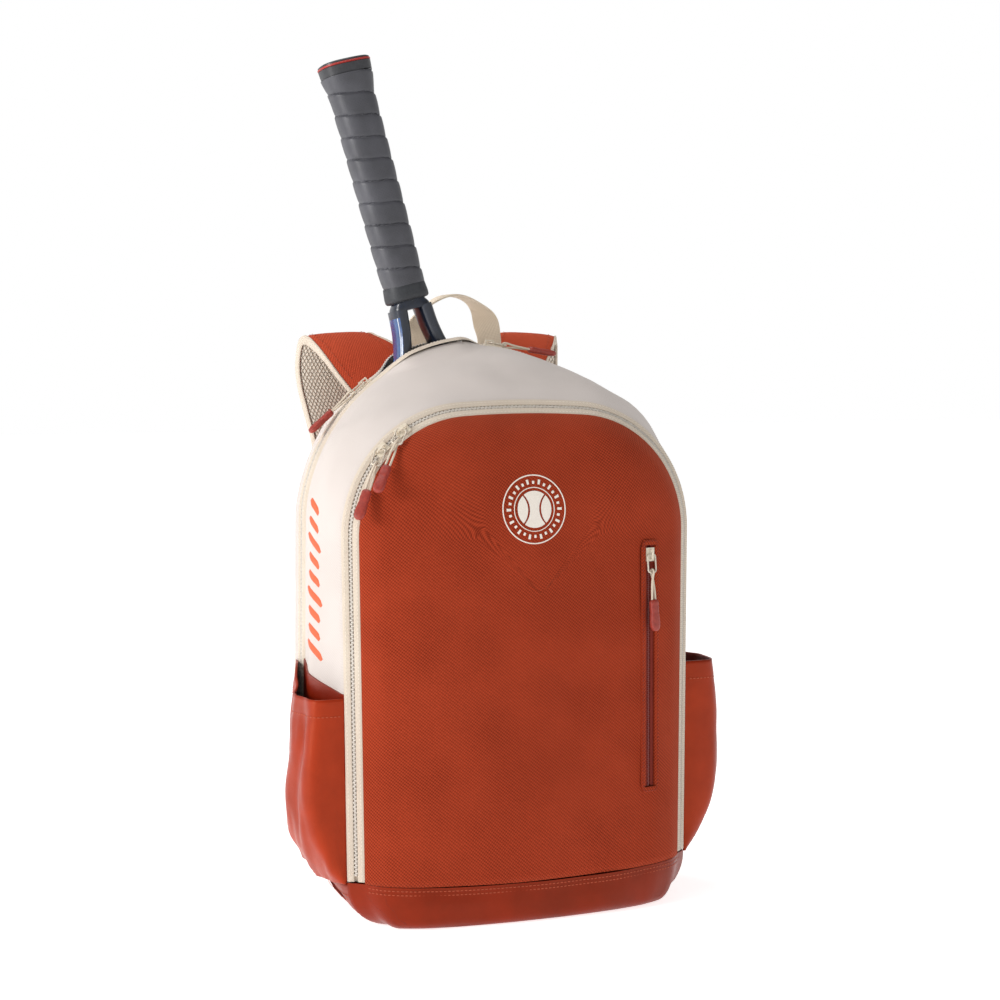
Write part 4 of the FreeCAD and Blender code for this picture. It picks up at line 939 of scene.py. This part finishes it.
def side_pocket(sign):
    """Soft coated pocket: creased, gathered at its foot, its rim dropping from the back seam."""
    zs = np.concatenate([[POCKET_FOOT, 36, 39, 42, 46, 51, 57], np.linspace(64, 176, 24),
                         [181, 184, 187, 190, 193, POCKET_TOP]])
    cols = 72
    rows = []
    for z in zs:
        front, full, mid, rear = curve([q[0] for q in POCKET_PLAN], [q[1:] for q in POCKET_PLAN], z)[0]
        rows.append(through([(149, -71, z), ((149 + front) / 2, -72, z), (front, -69.5, z),
                             ((front + full) / 2 + 2, -56, z), (full, -36, z), (mid, -5, z), (rear, 32, z),
                             (rear - 8, 56, z)], cols))
    p = np.array(rows)
    s = np.linspace(0, 1, cols)[None]
    hem_z = (182 + 17 * smoothstep(p[..., 1], -24, 22) if sign < 0
             else 195 + 5 * smoothstep(p[..., 1], 14, 56))
    level = (p[..., 2] - POCKET_FOOT) / (POCKET_TOP - POCKET_FOOT)
    p[..., 2] = POCKET_FOOT + level * (hem_z - POCKET_FOOT)
    free = np.sin(np.pi * s)
    z = p[..., 2]
    low = 1 - smoothstep(z, 46, 110)
    bend = np.sin(z / 31.0 + sign)
    ridge = lambda at, wide: np.exp(-((s - at) / wide) ** 2)
    creases = (-3.6 * ridge(0.30 + 0.03 * bend, 0.035) * smoothstep(z, 40, 120)
               * (1 - smoothstep(z, 150, 186))
               + 2.4 * ridge(0.42 + 0.05 * bend, 0.07) - 2.6 * ridge(0.57 - 0.04 * bend, 0.04) * low
               + 2.2 * np.sin(s * 24 + bend) * low + wobble(p, (24, 24, 60), 1.6, 31 + sign)
               + wobble(p, (9, 9, 22), 0.7, 37 + sign))
    gathers = 1.8 * np.abs(np.sin(s * 34 + 2 * bend)) * np.exp(-((z - 44) / 11.0) ** 2)
    tuck = 1.0 * np.exp(-((z - 38) / 4.0) ** 2)
    p[..., 0] += (creases + gathers - tuck) * free
    p[..., 0] += (7.0 if sign > 0 else 0.0) * free * smoothstep(z, 40, 90)
    p[..., 0] = np.maximum(p[..., 0], 138)
    hem = smoothstep(level, 0.905, 0.93)
    p[..., 0] += hem * 0.7 * free
    p[..., 0] *= sign
    body = p[:, ::-1] if sign < 0 else p
    node = SIDE[sign] + "_side_pocket"
    Piece().grid(body[::-1]).make(node + "_cloth", "bag", "coated lining", "coated_fabric", (node,),
                                  thick=1.6)
    trim = Piece()
    out = grid_normals(body[::-1])[::-1]
    row = int(np.argmin(abs(level[:, 0] - 0.9)))
    stitches(trim, body[row, 2:-2] + out[row, 2:-2] * 0.3, out[row, 2:-2], 0)
    trim.make(node + "_stitches", "bag", "thread_orange", "coated_fabric")


# ---------------------------------------------------------------- back, straps and handle
def disc(section, grow, ys, crown=0.0, seed=1):
    """Closed flat body with an outline of the bag, between two depths."""
    rings = (1.0, 0.985, 0.95, 0.85, 0.7, 0.5, 0.3, 0.12, 0.0)
    xz, _ = full_outline(section, 70, None, grow)
    centre = np.array([0, (xz[:, 1].max() + xz[:, 1].min()) / 2])
    rows = []
    for face, y in zip((-1, 1), ys):
        order = rings[::-1] if face < 0 else rings
        for k in order:
            bulge = crown * (1 - k ** 4) * face - face * (0.8 if k > 0.99 else 0)
            rows.append(upright(centre + (xz - centre) * k, y + bulge))
    p = np.array(rows)
    p[..., 1] += wobble(p, (50, 50, 50), 0.4 * (crown > 0), seed)
    return p


def inner_walls():
    """Divider between the two compartments, and the foam under the rear one."""
    divider = disc(section_at(DIVIDER_Y), -3.2, (DIVIDER_Y - 1.8, DIVIDER_Y - 0.2), 0.6, seed=4)
    Piece().grid(divider).make("compartment_divider_cloth", "bag", "lining", "lining",
                               ("compartment_divider",))
    y0, y1 = DIVIDER_Y + 1, Y_BACK - 2
    wide, corner = BACK_EDGE[:2]
    rows = []
    for k, z in ((0.3, 3.4), (0.9, 3.4), (0.97, 5), (1, 9), (1, 14), (1, 20), (0.995, FLOOR_Z - 0.8),
                 (0.97, FLOOR_Z), (0.5, FLOOR_Z + 0.4), (0.1, FLOOR_Z + 0.4)):
        half = wide - corner + math.sqrt(corner ** 2 - (corner - z) ** 2) - 5
        ring = oblong(2 * half, y1 - y0, 9, 48)
        rows.append(np.stack([ring[:, 0] * k, (y0 + y1) / 2 + ring[:, 1] * k, np.full(49, z)], 1))
    foam = Piece().grid(rows, caps=True).make("base_foam_cover", "bag", "lining", "foam", ("base_foam",))


def back_side():
    """Back panel with its piping, the two mesh pads and the yoke over the straps' roots."""
    Piece().grid(disc(BACK_EDGE, 0, (Y_BACK, Y_BACK + 6))).make(
        "back_panel_cloth", "bag", "strap", "coated_fabric", ("back_panel",))
    rim = upright(full_outline(BACK_EDGE, 120, None, 0.3)[0], Y_BACK + 3.0)
    rim[:, 2] = np.maximum(rim[:, 2], 2.0)
    Piece().grid(tube(rim, (0, 1, 0), 2.0, 8)).make("back_piping", "bag", "binding", "cream_fabric")
    edge = half_outline(BACK_EDGE)
    edge = edge[np.argmax(edge[:, 0] > 120):]
    low, high, u = 82, 400, np.linspace(0, 1, 26)
    for sign in (1, -1):
        zs = np.linspace(low, high, 54)
        reach = np.interp(zs, edge[:, 1], edge[:, 0]) - 14
        corner, top = [r - np.sqrt(np.maximum(r ** 2 - np.maximum(r - up, 0) ** 2, 0))
                       for r, up in ((14, zs - low), (16, high - zs))]
        rows = []
        for z, r, c, t in zip(zs, reach, corner, top):
            x0, x1 = 9 + max(c, t), r - max(c, t)
            rise = np.minimum(np.sin(np.pi * u), 1) ** 0.5 * min(1, ((z - low) / 12) ** 0.5,
                                                                 ((high - z) / 12) ** 0.5)
            channel = 0.45 * sum(math.exp(-((z - m) / 4.0) ** 2) for m in (160, 240, 320))
            rows.append(np.stack([sign * (x0 + (x1 - x0) * u), Y_BACK + 6.2 + 7.2 * rise * (1 - channel),
                                  np.full(len(u), z)], 1))
        p = np.array(rows)
        p[..., 1] += np.maximum(wobble(p, (30, 30, 30), 0.5, 40 + sign), -0.2) * (p[..., 1] > Y_BACK + 7)
        back = p.copy()
        back[..., 1] = Y_BACK + 6.1
        loop = np.concatenate([p, back[:, ::-1], p[:, :1]], axis=1)
        pad = Piece().grid(loop, caps=True)
        pad.make(SIDE[sign] + "_back_pad", "bag", "mesh", "back_mesh")
    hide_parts("back_mesh_pads")
    yoke = Piece()
    u = np.linspace(-1, 1, 60)
    rows = []
    x = u * 105
    crest = np.interp(x, *full_outline(BACK_EDGE, 160, 330, -3)[0][::-1].T)
    for y, inset in ((6.0, 0.4), (8.0, 0.1), (8.4, 1.2), (8.4, None), (6.0, None)):
        z = np.full(60, 404.0) if inset is None else np.maximum(crest - inset, 405.0)
        rows.append(np.stack([x, np.full(60, Y_BACK + y), z], 1))
    rows.append(rows[0])
    yoke.grid(rows)
    stitches(yoke, rows[2] + (0, 0.35, -2.5), BACKWARD, 1)
    stitches(yoke, np.stack([u * 100, np.full(60, Y_BACK + 8.75), np.full(60, 407.5)], 1), BACKWARD, 1)
    yoke.make("strap_yoke_cloth", "bag", "strap thread_orange", "coated_fabric", ("strap_yoke",),
              closed=False)


STRAP_PATH = (
    # x, y, z of the left strap's middle, then how far its outer edge hangs (degrees)
    (-57.0, 95.5, 432.0, 34.0), (-66.0, 98.0, 443.5, 32.0), (-76.0, 102.0, 455.0, 17.0),
    (-84.0, 108.0, 463.0, 7.0), (-89.0, 115.0, 467.0, 3.0), (-91.5, 121.5, 464.0, 0.0),
    (-93.0, 125.5, 453.5, 0.0), (-93.5, 127.0, 440.0, 0.0), (-92.0, 126.0, 424.0, 0.0),
    (-88.0, 121.5, 402.0, 0.0), (-82.0, 118.5, 375.0, 0.0), (-79.0, 118.0, 345.0, 0.0),
    (-80.0, 118.0, 300.0, 0.0), (-90.0, 118.5, 225.0, 0.0), (-98.0, 117.0, 165.0, 0.0))


def strap(sign):
    """Shoulder strap with its binding and mesh, the webbing below it and the loose tail."""
    body, tail_body, tail_x = SIDE[sign] + "_strap", SIDE[sign] + "_tail", sign * 99
    stations = through(STRAP_PATH, 90)
    path = stations[:, :3] * (-sign, 1, 1)
    along = unit(np.gradient(path, axis=0))
    roll = np.radians(stations[:, 3])
    across = np.stack([np.cos(roll), 0 * roll, -sign * np.sin(roll)], 1)
    face = unit(np.cross(across, along))
    end = np.minimum(1, np.minimum(travel(path) + 0.4, travel(path)[-1] - travel(path) + 0.4) / 5) ** 0.5
    half = STRAP_WIDTH / 2
    pad_section = np.array([oblong(STRAP_WIDTH * (0.9 + 0.1 * e), 6.6 * e, 3.2, 32) for e in end])
    pad_section[..., 1] += 0.6 * np.cos(pad_section[..., 0] / half * 1.5) * end[:, None]
    pad = Piece().grid(sweep(path, across, face, pad_section), caps=True)
    for edge in (1, -1):
        rim = path + across * edge * (half - 7)
        stitches(pad, rim[3:-3] + face[3:-3] * 3.55, face[3:-3], 1)
    made = pad.make(body + "_pad_cloth", None, "strap thread_orange", "panel_twill", (body + "_pad",))
    binding = Piece()
    for edge in (1, -1):
        rim = path + across * edge * (half - 0.6) - face * 1.4
        binding.grid(sweep(rim, across, face, oblong(3.4, 8.6, 2.4, 12)), caps=True)
    edging = binding.make(body + "_binding", None, "binding", "cream_fabric")
    under_section = np.array([oblong(STRAP_WIDTH - 5, 2.6 * e, 3.0, 28) for e in end])
    under = Piece().grid(sweep(path - face * 4.4, across, face, under_section), caps=True)
    mesh = under.make(body + "_mesh_cloth", None, "mesh", "strap_mesh", (body + "_mesh",))
    start, stop = path[2] * MM, path[16] * MM
    for o in (made, edging, mesh):
        tuple(start)
        tuple(stop)
        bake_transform(o)
    web = Piece()
    line = through([(sign * 99.3, 117.2, 152.0), (sign * 99.8, 119.0, 136.0), (sign * 108.0, 112.0, 100.0),
                    (sign * 116.0, 98.8, 67.0)], 40)
    along = unit(np.gradient(line, axis=0))
    lean = np.array([1, 0, 0.2 * sign])
    wide = unit(lean - along * (along @ lean)[:, None])
    web.grid(sweep(line, wide, unit(np.cross(wide, along)), oblong(25, 1.7, 6, 20)), caps=True)
    web.make(body + "_webbing_cloth", body, "webbing", "webbing", (body + "_webbing",))
    tail = Piece()
    line = through([(tail_x, 123.6, 146.0), (tail_x, 124.8, 126.0), (tail_x, 124.5, 90.0),
                    (tail_x, 124.0, 49.0)], 40)
    rightward = np.array([1.0, 0, 0])
    tail.grid(sweep(line, rightward, BACKWARD, oblong(25, 1.6, 6, 20)), caps=True)
    tail.grid(sweep(line[-8:] + (0, 0, 0.5), rightward, BACKWARD, oblong(25.3, 3.4, 5, 20)), caps=True)
    hem = np.stack([tail_x + np.linspace(-11, 11, 12), np.full(12, 126.0), np.full(12, 50.5)], 1)
    stitches(tail, hem, BACKWARD, 1)
    tail.make(tail_body + "_cloth", tail_body, "webbing thread_cream", "webbing",
              (SIDE[sign] + "_webbing_tail",))


def anchor_tabs():
    """Tabs at the foot of the back that hold the straps' webbing."""
    tabs = Piece()
    corners = np.array([(104, 40), (134, 52), (127, 67), (111, 67)], float)
    centre = corners.mean(0)
    ring = np.concatenate([np.linspace(a, b, 8)[:-1] for a, b in zip(corners, np.roll(corners, -1, 0))])
    ring = np.concatenate([ring, ring[:1]]) - centre
    box = centre + (np.concatenate([corners, corners[:1]]) - centre) * 0.78
    seam = np.concatenate([np.linspace(a, b, 6) for a, b in zip(box, box[1:])])
    for sign in (1, -1):
        tabs.grid([upright((centre + ring * k) * (sign, 1), Y_BACK + y) for k, y in
                   ((0.0, 8.8), (0.8, 8.9), (0.97, 8.6), (1.0, 7.6), (1.0, 6.2), (0.0, 6.2))])
        stitches(tabs, upright(seam * (sign, 1), Y_BACK + 9.2), BACKWARD, 1)
    tabs.make("anchor_tabs_cloth", "bag", "coated thread_orange", "coated_fabric", ("anchor_tabs",))


def haul_handle():
    """Webbing loop: its feet face the front, and it turns edge-on at its top."""
    half_span, y, foot_z, rise = 35, 71, 449, 53
    t = np.linspace(0, math.pi, 72)
    height = np.sin(t) ** 0.75
    path = np.stack([-half_span * np.cos(t), y + 0 * t, foot_z + rise * height], 1)
    along = unit(np.gradient(path, axis=0))
    turn = math.pi / 2 * smoothstep(height, 0.3, 1.0) * np.where(t < math.pi / 2, 1, -1)
    turn += np.where(t < math.pi / 2, 0.0, math.pi)
    wide = np.stack([np.cos(turn), np.sin(turn), 0 * turn], 1)
    wide = unit(wide - along * (wide * along).sum(1, keepdims=True))
    handle = Piece().grid(sweep(path, wide, unit(np.cross(wide, along)), oblong(22, 2.2, 5, 24)), caps=True)
    handle.make("haul_handle_webbing", "haul_handle", "webbing", "webbing", ("haul_handle",))


# ---------------------------------------------------------------- pulls
PULL_CORD_SIDE = ((-1.7, 0.0, -37.0), (-1.6, -0.4, -28.0), (-1.3, -0.9, -21.5), (-0.7, -1.6, -17.5),
                  (-0.2, -2.1, -14.4), (0.0, -1.15, -12.0))
CORD_DIAMETER, CORD_LENGTH = 1.8, 52.0
# down from the cord's end, half width, half thickness
PULL_TIP = ((-0.6, 2.2, 1.5), (0.2, 3.2, 2.2), (1.4, 3.9, 2.6), (3.2, 4.0, 2.65), (4.4, 3.75, 2.4),
            (5.4, 4.0, 2.6), (9.0, 3.85, 2.5), (10.0, 3.6, 2.25), (11.0, 3.9, 2.5), (14.0, 4.2, 2.6),
            (18.0, 4.5, 2.65), (21.5, 4.3, 2.5), (23.6, 3.4, 2.1), (24.7, 2.2, 1.5), (25.0, 1.0, 0.7))
joints = {j["name"]: j for j in frame["joints"]}


def pull(name):
    """A zip pull: a loop of cord through the slider's bail, and its moulded rubber tip."""
    joint = joints[name + "_pull_swing"]
    pivot = np.array(joint["pos_m"]) / MM
    tip_node = frame["nodes"][name + "_pull_tip"]
    middle = np.array([v.co for v in tip_node.data.vertices]).mean(0) / MM
    z_axis = unit(pivot - middle)
    x_axis = -np.array(joint["axis"])
    x_axis = unit(x_axis - z_axis * (x_axis @ z_axis))
    y_axis = np.cross(z_axis, x_axis)
    place = lambda q: pivot + q[..., :1] * x_axis + q[..., 1:2] * y_axis + q[..., 2:] * z_axis
    route = place(np.array(PULL_CORD_SIDE + tuple((-x, -y, z) for x, y, z in PULL_CORD_SIDE[::-1])))
    data = bpy.data.curves.new(name + "_cord_line", "CURVE")
    data.dimensions = "3D"
    data.bevel_depth, data.bevel_resolution, data.resolution_u = CORD_DIAMETER / 2 * MM, 3, 12
    data.use_fill_caps = True
    spline = data.splines.new("NURBS")
    spline.points.add(len(route) - 1)
    for point, q in zip(spline.points, route):
        point.co = (*(q * MM), 1.0)
    spline.order_u, spline.use_endpoint_u = 3, True
    data.materials.append(LOOKS["cord"].material)
    cord = in_scene(name + "_cord", data)
    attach(cord, name + "_pull")
    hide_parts(name + "_pull_cord")
    tip = rings([(-37.0 - down, a, b) for down, a, b in PULL_TIP], 3.2, 28)
    Piece().grid(place(tip), caps=True).make(name + "_tip", name + "_pull", "rubber", "pull_rubber",
                                             (name + "_pull_tip",))


def dress(node, look, bevel=0.0, segments=2):
    """Keeps a CAD node, with a finish and softened edges."""
    made = frame["nodes"][node]
    made.data.materials.clear()
    made.data.materials.append(LOOKS[look].material)
    if bevel:
        edge = made.modifiers.new("edges", "BEVEL")
        edge.width, edge.segments, edge.limit_method, edge.angle_limit = bevel * MM, segments, "ANGLE", 0.6
        edge.harden_normals = False


# ---------------------------------------------------------------- racket
racket_z = unit(np.array(joints["racket_lift"]["axis"]))         # from the head's tip to the butt
racket_x = unit(np.array([1.0, 0, 0]) - racket_z * racket_z[0])  # in the strings' plane, to the right
racket_y = np.cross(racket_z, racket_x)
racket_origin = np.array(RACKET_MOUTH) - racket_z * (RACKET_LENGTH - RACKET_OUT)


def on_racket(p):
    """Points given in the racket's own axes, with its head's tip at the origin."""
    p = np.asarray(p, float)
    return racket_origin + p[..., :1] * racket_x + p[..., 1:2] * racket_y + p[..., 2:] * racket_z


def rings(stations, power=2.8, n=40):
    """Stacked cross-sections: height, half width, half thickness."""
    return np.array([[(*q, z) for q in oblong(2 * a, 2 * b, power, n)] for z, a, b in stations])


def racket():
    """Frame with its painted arm, collar, grip and butt cap."""
    cap_length = 12
    grip_end = RACKET_LENGTH - cap_length
    r1, end = HEAD_END_R, HEAD_HALF_LENGTH - HEAD_END_R
    r2 = (end ** 2 + HEAD_HALF_WIDTH ** 2 - r1 ** 2) / (2 * (HEAD_HALF_WIDTH - r1))
    join = math.atan2(r2 - HEAD_HALF_WIDTH, end)
    b = HEAD_HALF_WIDTH
    hoop = upright(np.array(arc(0, HEAD_Z + end, r1, -join, join, 26)[:-1]
                            + arc(b - r2, HEAD_Z, r2, join, math.pi - join, 40)[:-1]
                            + arc(0, HEAD_Z - end, r1, math.pi - join, math.pi + join, 26)[:-1]
                            + arc(r2 - b, HEAD_Z, r2, math.pi + join, 2 * math.pi - join, 40)), 0.0)
    middle = np.array([0, 0, HEAD_Z])
    radial = unit(hoop - middle)
    radial[0] = radial[-1]
    body = Piece().grid(on_racket(sweep(hoop, radial, BACKWARD, oblong(*HEAD_BAR, BAR_POWER, 20))))
    arm = through([(84, 296, 9, 9), (60, 350, 7, 10.5), (34, 402, 6.4, 11), (17.5, 436, 6.2, 11.6),
                   (13.1, 455, 6.2, 12), (11.2, HANDLE_TOP, 6.6, 12.5)], 60)
    for sign in (1, -1):
        line = np.stack([sign * arm[:, 0], 0 * arm[:, 0], arm[:, 1]], 1)
        along = unit(np.gradient(line, axis=0))
        side = unit(np.cross(BACKWARD, along))
        sections = np.array([oblong(2 * w, 2 * h, BAR_POWER, 24) for w, h in arm[:, 2:]])
        body.grid(on_racket(sweep(line, side, BACKWARD, sections)), caps=True)
    body.grid(on_racket(rings(((HANDLE_TOP - 1.5, 17.3, 12), (HANDLE_TOP + 2, 16.4, 12),
                               (HANDLE_TOP + 6, 13.5, 11.5), (grip_end, 13.5, 11.5)), 3.2, 28)), caps=True)
    # painted arm: blue side with a light line and an orange block, laid just over the navy
    k = slice(24, 58)
    line = np.stack([-arm[k, 0], 0 * arm[k, 0], arm[k, 1]], 1)
    along = unit(np.gradient(line, axis=0))
    side = unit(np.cross(BACKWARD, along))
    for look, lift, a0, a1, part in ((1, 0.12, -3.9, -2.0, slice(0, 34)),
                                     (2, 0.22, -2.42, -2.3, slice(0, 34)),
                                     (3, 0.3, -3.6, -2.1, slice(6, 14))):
        rows = []
        for q, s, w, h in zip(line[part], side[part], arm[k, 2][part], arm[k, 3][part]):
            angles = np.linspace(a0, a1, 12)
            c, n = [np.sign(v) * abs(v) ** (2 / BAR_POWER) for v in (np.cos(angles), np.sin(angles))]
            rows.append(q + s * ((w + lift) * c)[:, None] + BACKWARD * ((h + lift) * n)[:, None])
        body.grid(on_racket(np.array(rows)), look)
    body.make("racket_frame_shell", "racket", "paint blue stripe accent", "racket_paint",
              ("racket_frame",), closed=False)
    z0 = HANDLE_TOP + 6.5
    collar = rings(((z0 - 0.6, 15.2, 12.6), (z0, 17.2, 14.2), (z0 + 1.2, 18.0, 15.2), (z0 + 4, 18.2, 15.4),
                    (z0 + 10, 17.6, 15.0), (z0 + 12.6, 17.2, 14.7), (z0 + 13.2, 16.0, 13.6)))
    Piece().grid(on_racket(collar), caps=True).make("racket_collar_rubber", "racket", "collar",
                                                    "collar_rubber", ("racket_collar",))
    zs = np.linspace(HANDLE_TOP + 18.6, grip_end, 190)
    base = curve([zs[0], zs[0] + 40, grip_end - 22, grip_end],
                 [(16.4, 14.5), (17.0, 14.8), (17.4, 15.2), (20.6, 17.8)], zs, flat=True)
    theta = np.linspace(0, 2 * math.pi, 57)
    rows = []
    pitch = 18.6         # of the wrapping's turns
    for z, (a, b) in zip(zs, base):
        section = oblong(2 * a, 2 * b, BAR_POWER, 56)
        phase = (z / pitch + theta / (2 * math.pi)) % 1.0
        step = (0.75 * phase + 0.5 * np.sin(np.pi * phase) ** 0.6
                - 0.9 * np.exp(-(np.minimum(phase, 1 - phase) / 0.035) ** 2))
        rows.append(np.stack([section[:, 0] * (1 + step / a), section[:, 1] * (1 + step / b),
                              np.full(len(theta), z)], 1))
    Piece().grid(on_racket(rows), caps=True).make("racket_overgrip", "racket", "grip", "grip_wrap",
                                                  ("racket_grip",))
    cap = Piece()
    for look, stations in (
            (0, ((cap_length, 20.0, 17.2), (11.6, 21.0, 18.0), (4.4, 21.6, 18.6), (4.0, 21.2, 18.2))),
            (1, ((4.0, 21.3, 18.3), (3.6, 21.8, 18.8), (2.6, 21.8, 18.8), (2.2, 21.3, 18.3))),
            (0, ((2.2, 21.3, 18.3), (1.2, 21.2, 18.2), (0.3, 19.8, 16.8), (0, 18.0, 15.2), (0.5, 12, 10)))):
        stations = [(RACKET_LENGTH - from_end, a, b) for from_end, a, b in stations]
        cap.grid(on_racket(rings(stations)), look, caps=True)
    cap.make("racket_butt_cap_moulding", "racket", "cap cap_rim", "cap_plastic", ("racket_butt_cap",))


# ---------------------------------------------------------------- side print
def on_side(p, sign):
    """Gives a function for points on one side of the front gusset, at a depth and height, raised off it."""
    cols = p.shape[1]
    part = p[:, cols // 2:] if sign < 0 else p[:, :cols // 2 + 1]
    n = part.shape[1]
    faces = [(r * n + c, r * n + c + 1, (r + 1) * n + c + 1, (r + 1) * n + c)
             for r in range(len(part) - 1) for c in range(n - 1)]
    tree = BVHTree.FromPolygons([tuple(q) for q in part.reshape(-1, 3)], faces)

    def put(y, z, lift):
        hit, n, _, _ = tree.ray_cast(Vector((sign * 400, y, z)), Vector((-sign, 0, 0)))
        n = n if n.x * sign > 0 else -n
        return np.array(hit) + np.array(n) * lift
    return put


def pocket_back(p, sign):
    """Coated cloth behind each side pocket's mouth, its top edge rising toward the back."""
    put = on_side(p, sign)
    rise = 0.2 if sign < 0 else 0.08
    rows = []
    front, rear, foot = -71, 19, 120
    for t, lift in ((0.0, 1.4), (0.5, 1.4), (0.9, 1.4), (0.97, 1.4), (1.0, 1.4), (1.0, 0.0)):
        rows.append([put(y, foot + (65 + rise * (y - front)) * t, lift)
                     for y in np.linspace(front, rear, 30)])
    rows = np.array(rows)
    Piece().grid(rows if sign > 0 else rows[:, ::-1]).make(
        SIDE[sign] + "_pocket_back_cloth", "bag", "base", "coated_fabric", closed=False)


def side_dashes(p):
    """Row of plain slanted dashes printed up the left side of the front gusset."""
    put = on_side(p, -1)
    piece = Piece()
    count, first_z, step, middle_y, slant = 9, 216, 14.3, -26, 0.42
    for k in range(count):
        length = 22.0 if k % 3 else 30.0
        rows = []
        for u in np.linspace(0, 1, 12):
            fat = 3.4 * min(1, (u * 8) ** 0.5, ((1 - u) * 8) ** 0.5) + 0.05
            y = middle_y + (u - 0.5) * length
            z = first_z + k * step + (u - 0.5) * length * slant
            rows.append([put(y, z + fat * v, 0.25 if abs(v) < 0.9 else 0.0)
                         for v in (-1, -0.8, 0, 0.8, 1)])
        piece.grid(np.array(rows))
    piece.make("side_dash_print", "bag", "orange_print", "cream_fabric", closed=False)


# ---------------------------------------------------------------- build
add_camera()
add_stage()
for pull_name in PULLS:
    pull(pull_name)
    dress(pull_name + "_slider", "metal", 0.35)
    dress(pull_name + "_bail", "bail")
front_grid = gusset(True)
gusset(False)
boot()
band()
front_zip()
main_zip()
panel_surface = front_panel()
slash_pocket()
badge(panel_surface)
side_dashes(front_grid)
for sign in (-1, 1):
    side_pocket(sign)
    pocket_back(front_grid, sign)
    strap(sign)
    dress(SIDE[sign] + "_strap_buckle", "buckle", 0.7, 3)
inner_walls()
back_side()
anchor_tabs()
haul_handle()
racket()
dress("racket_strings", "string")
dress("racket_bumper_strip", "bumper", 0.4)
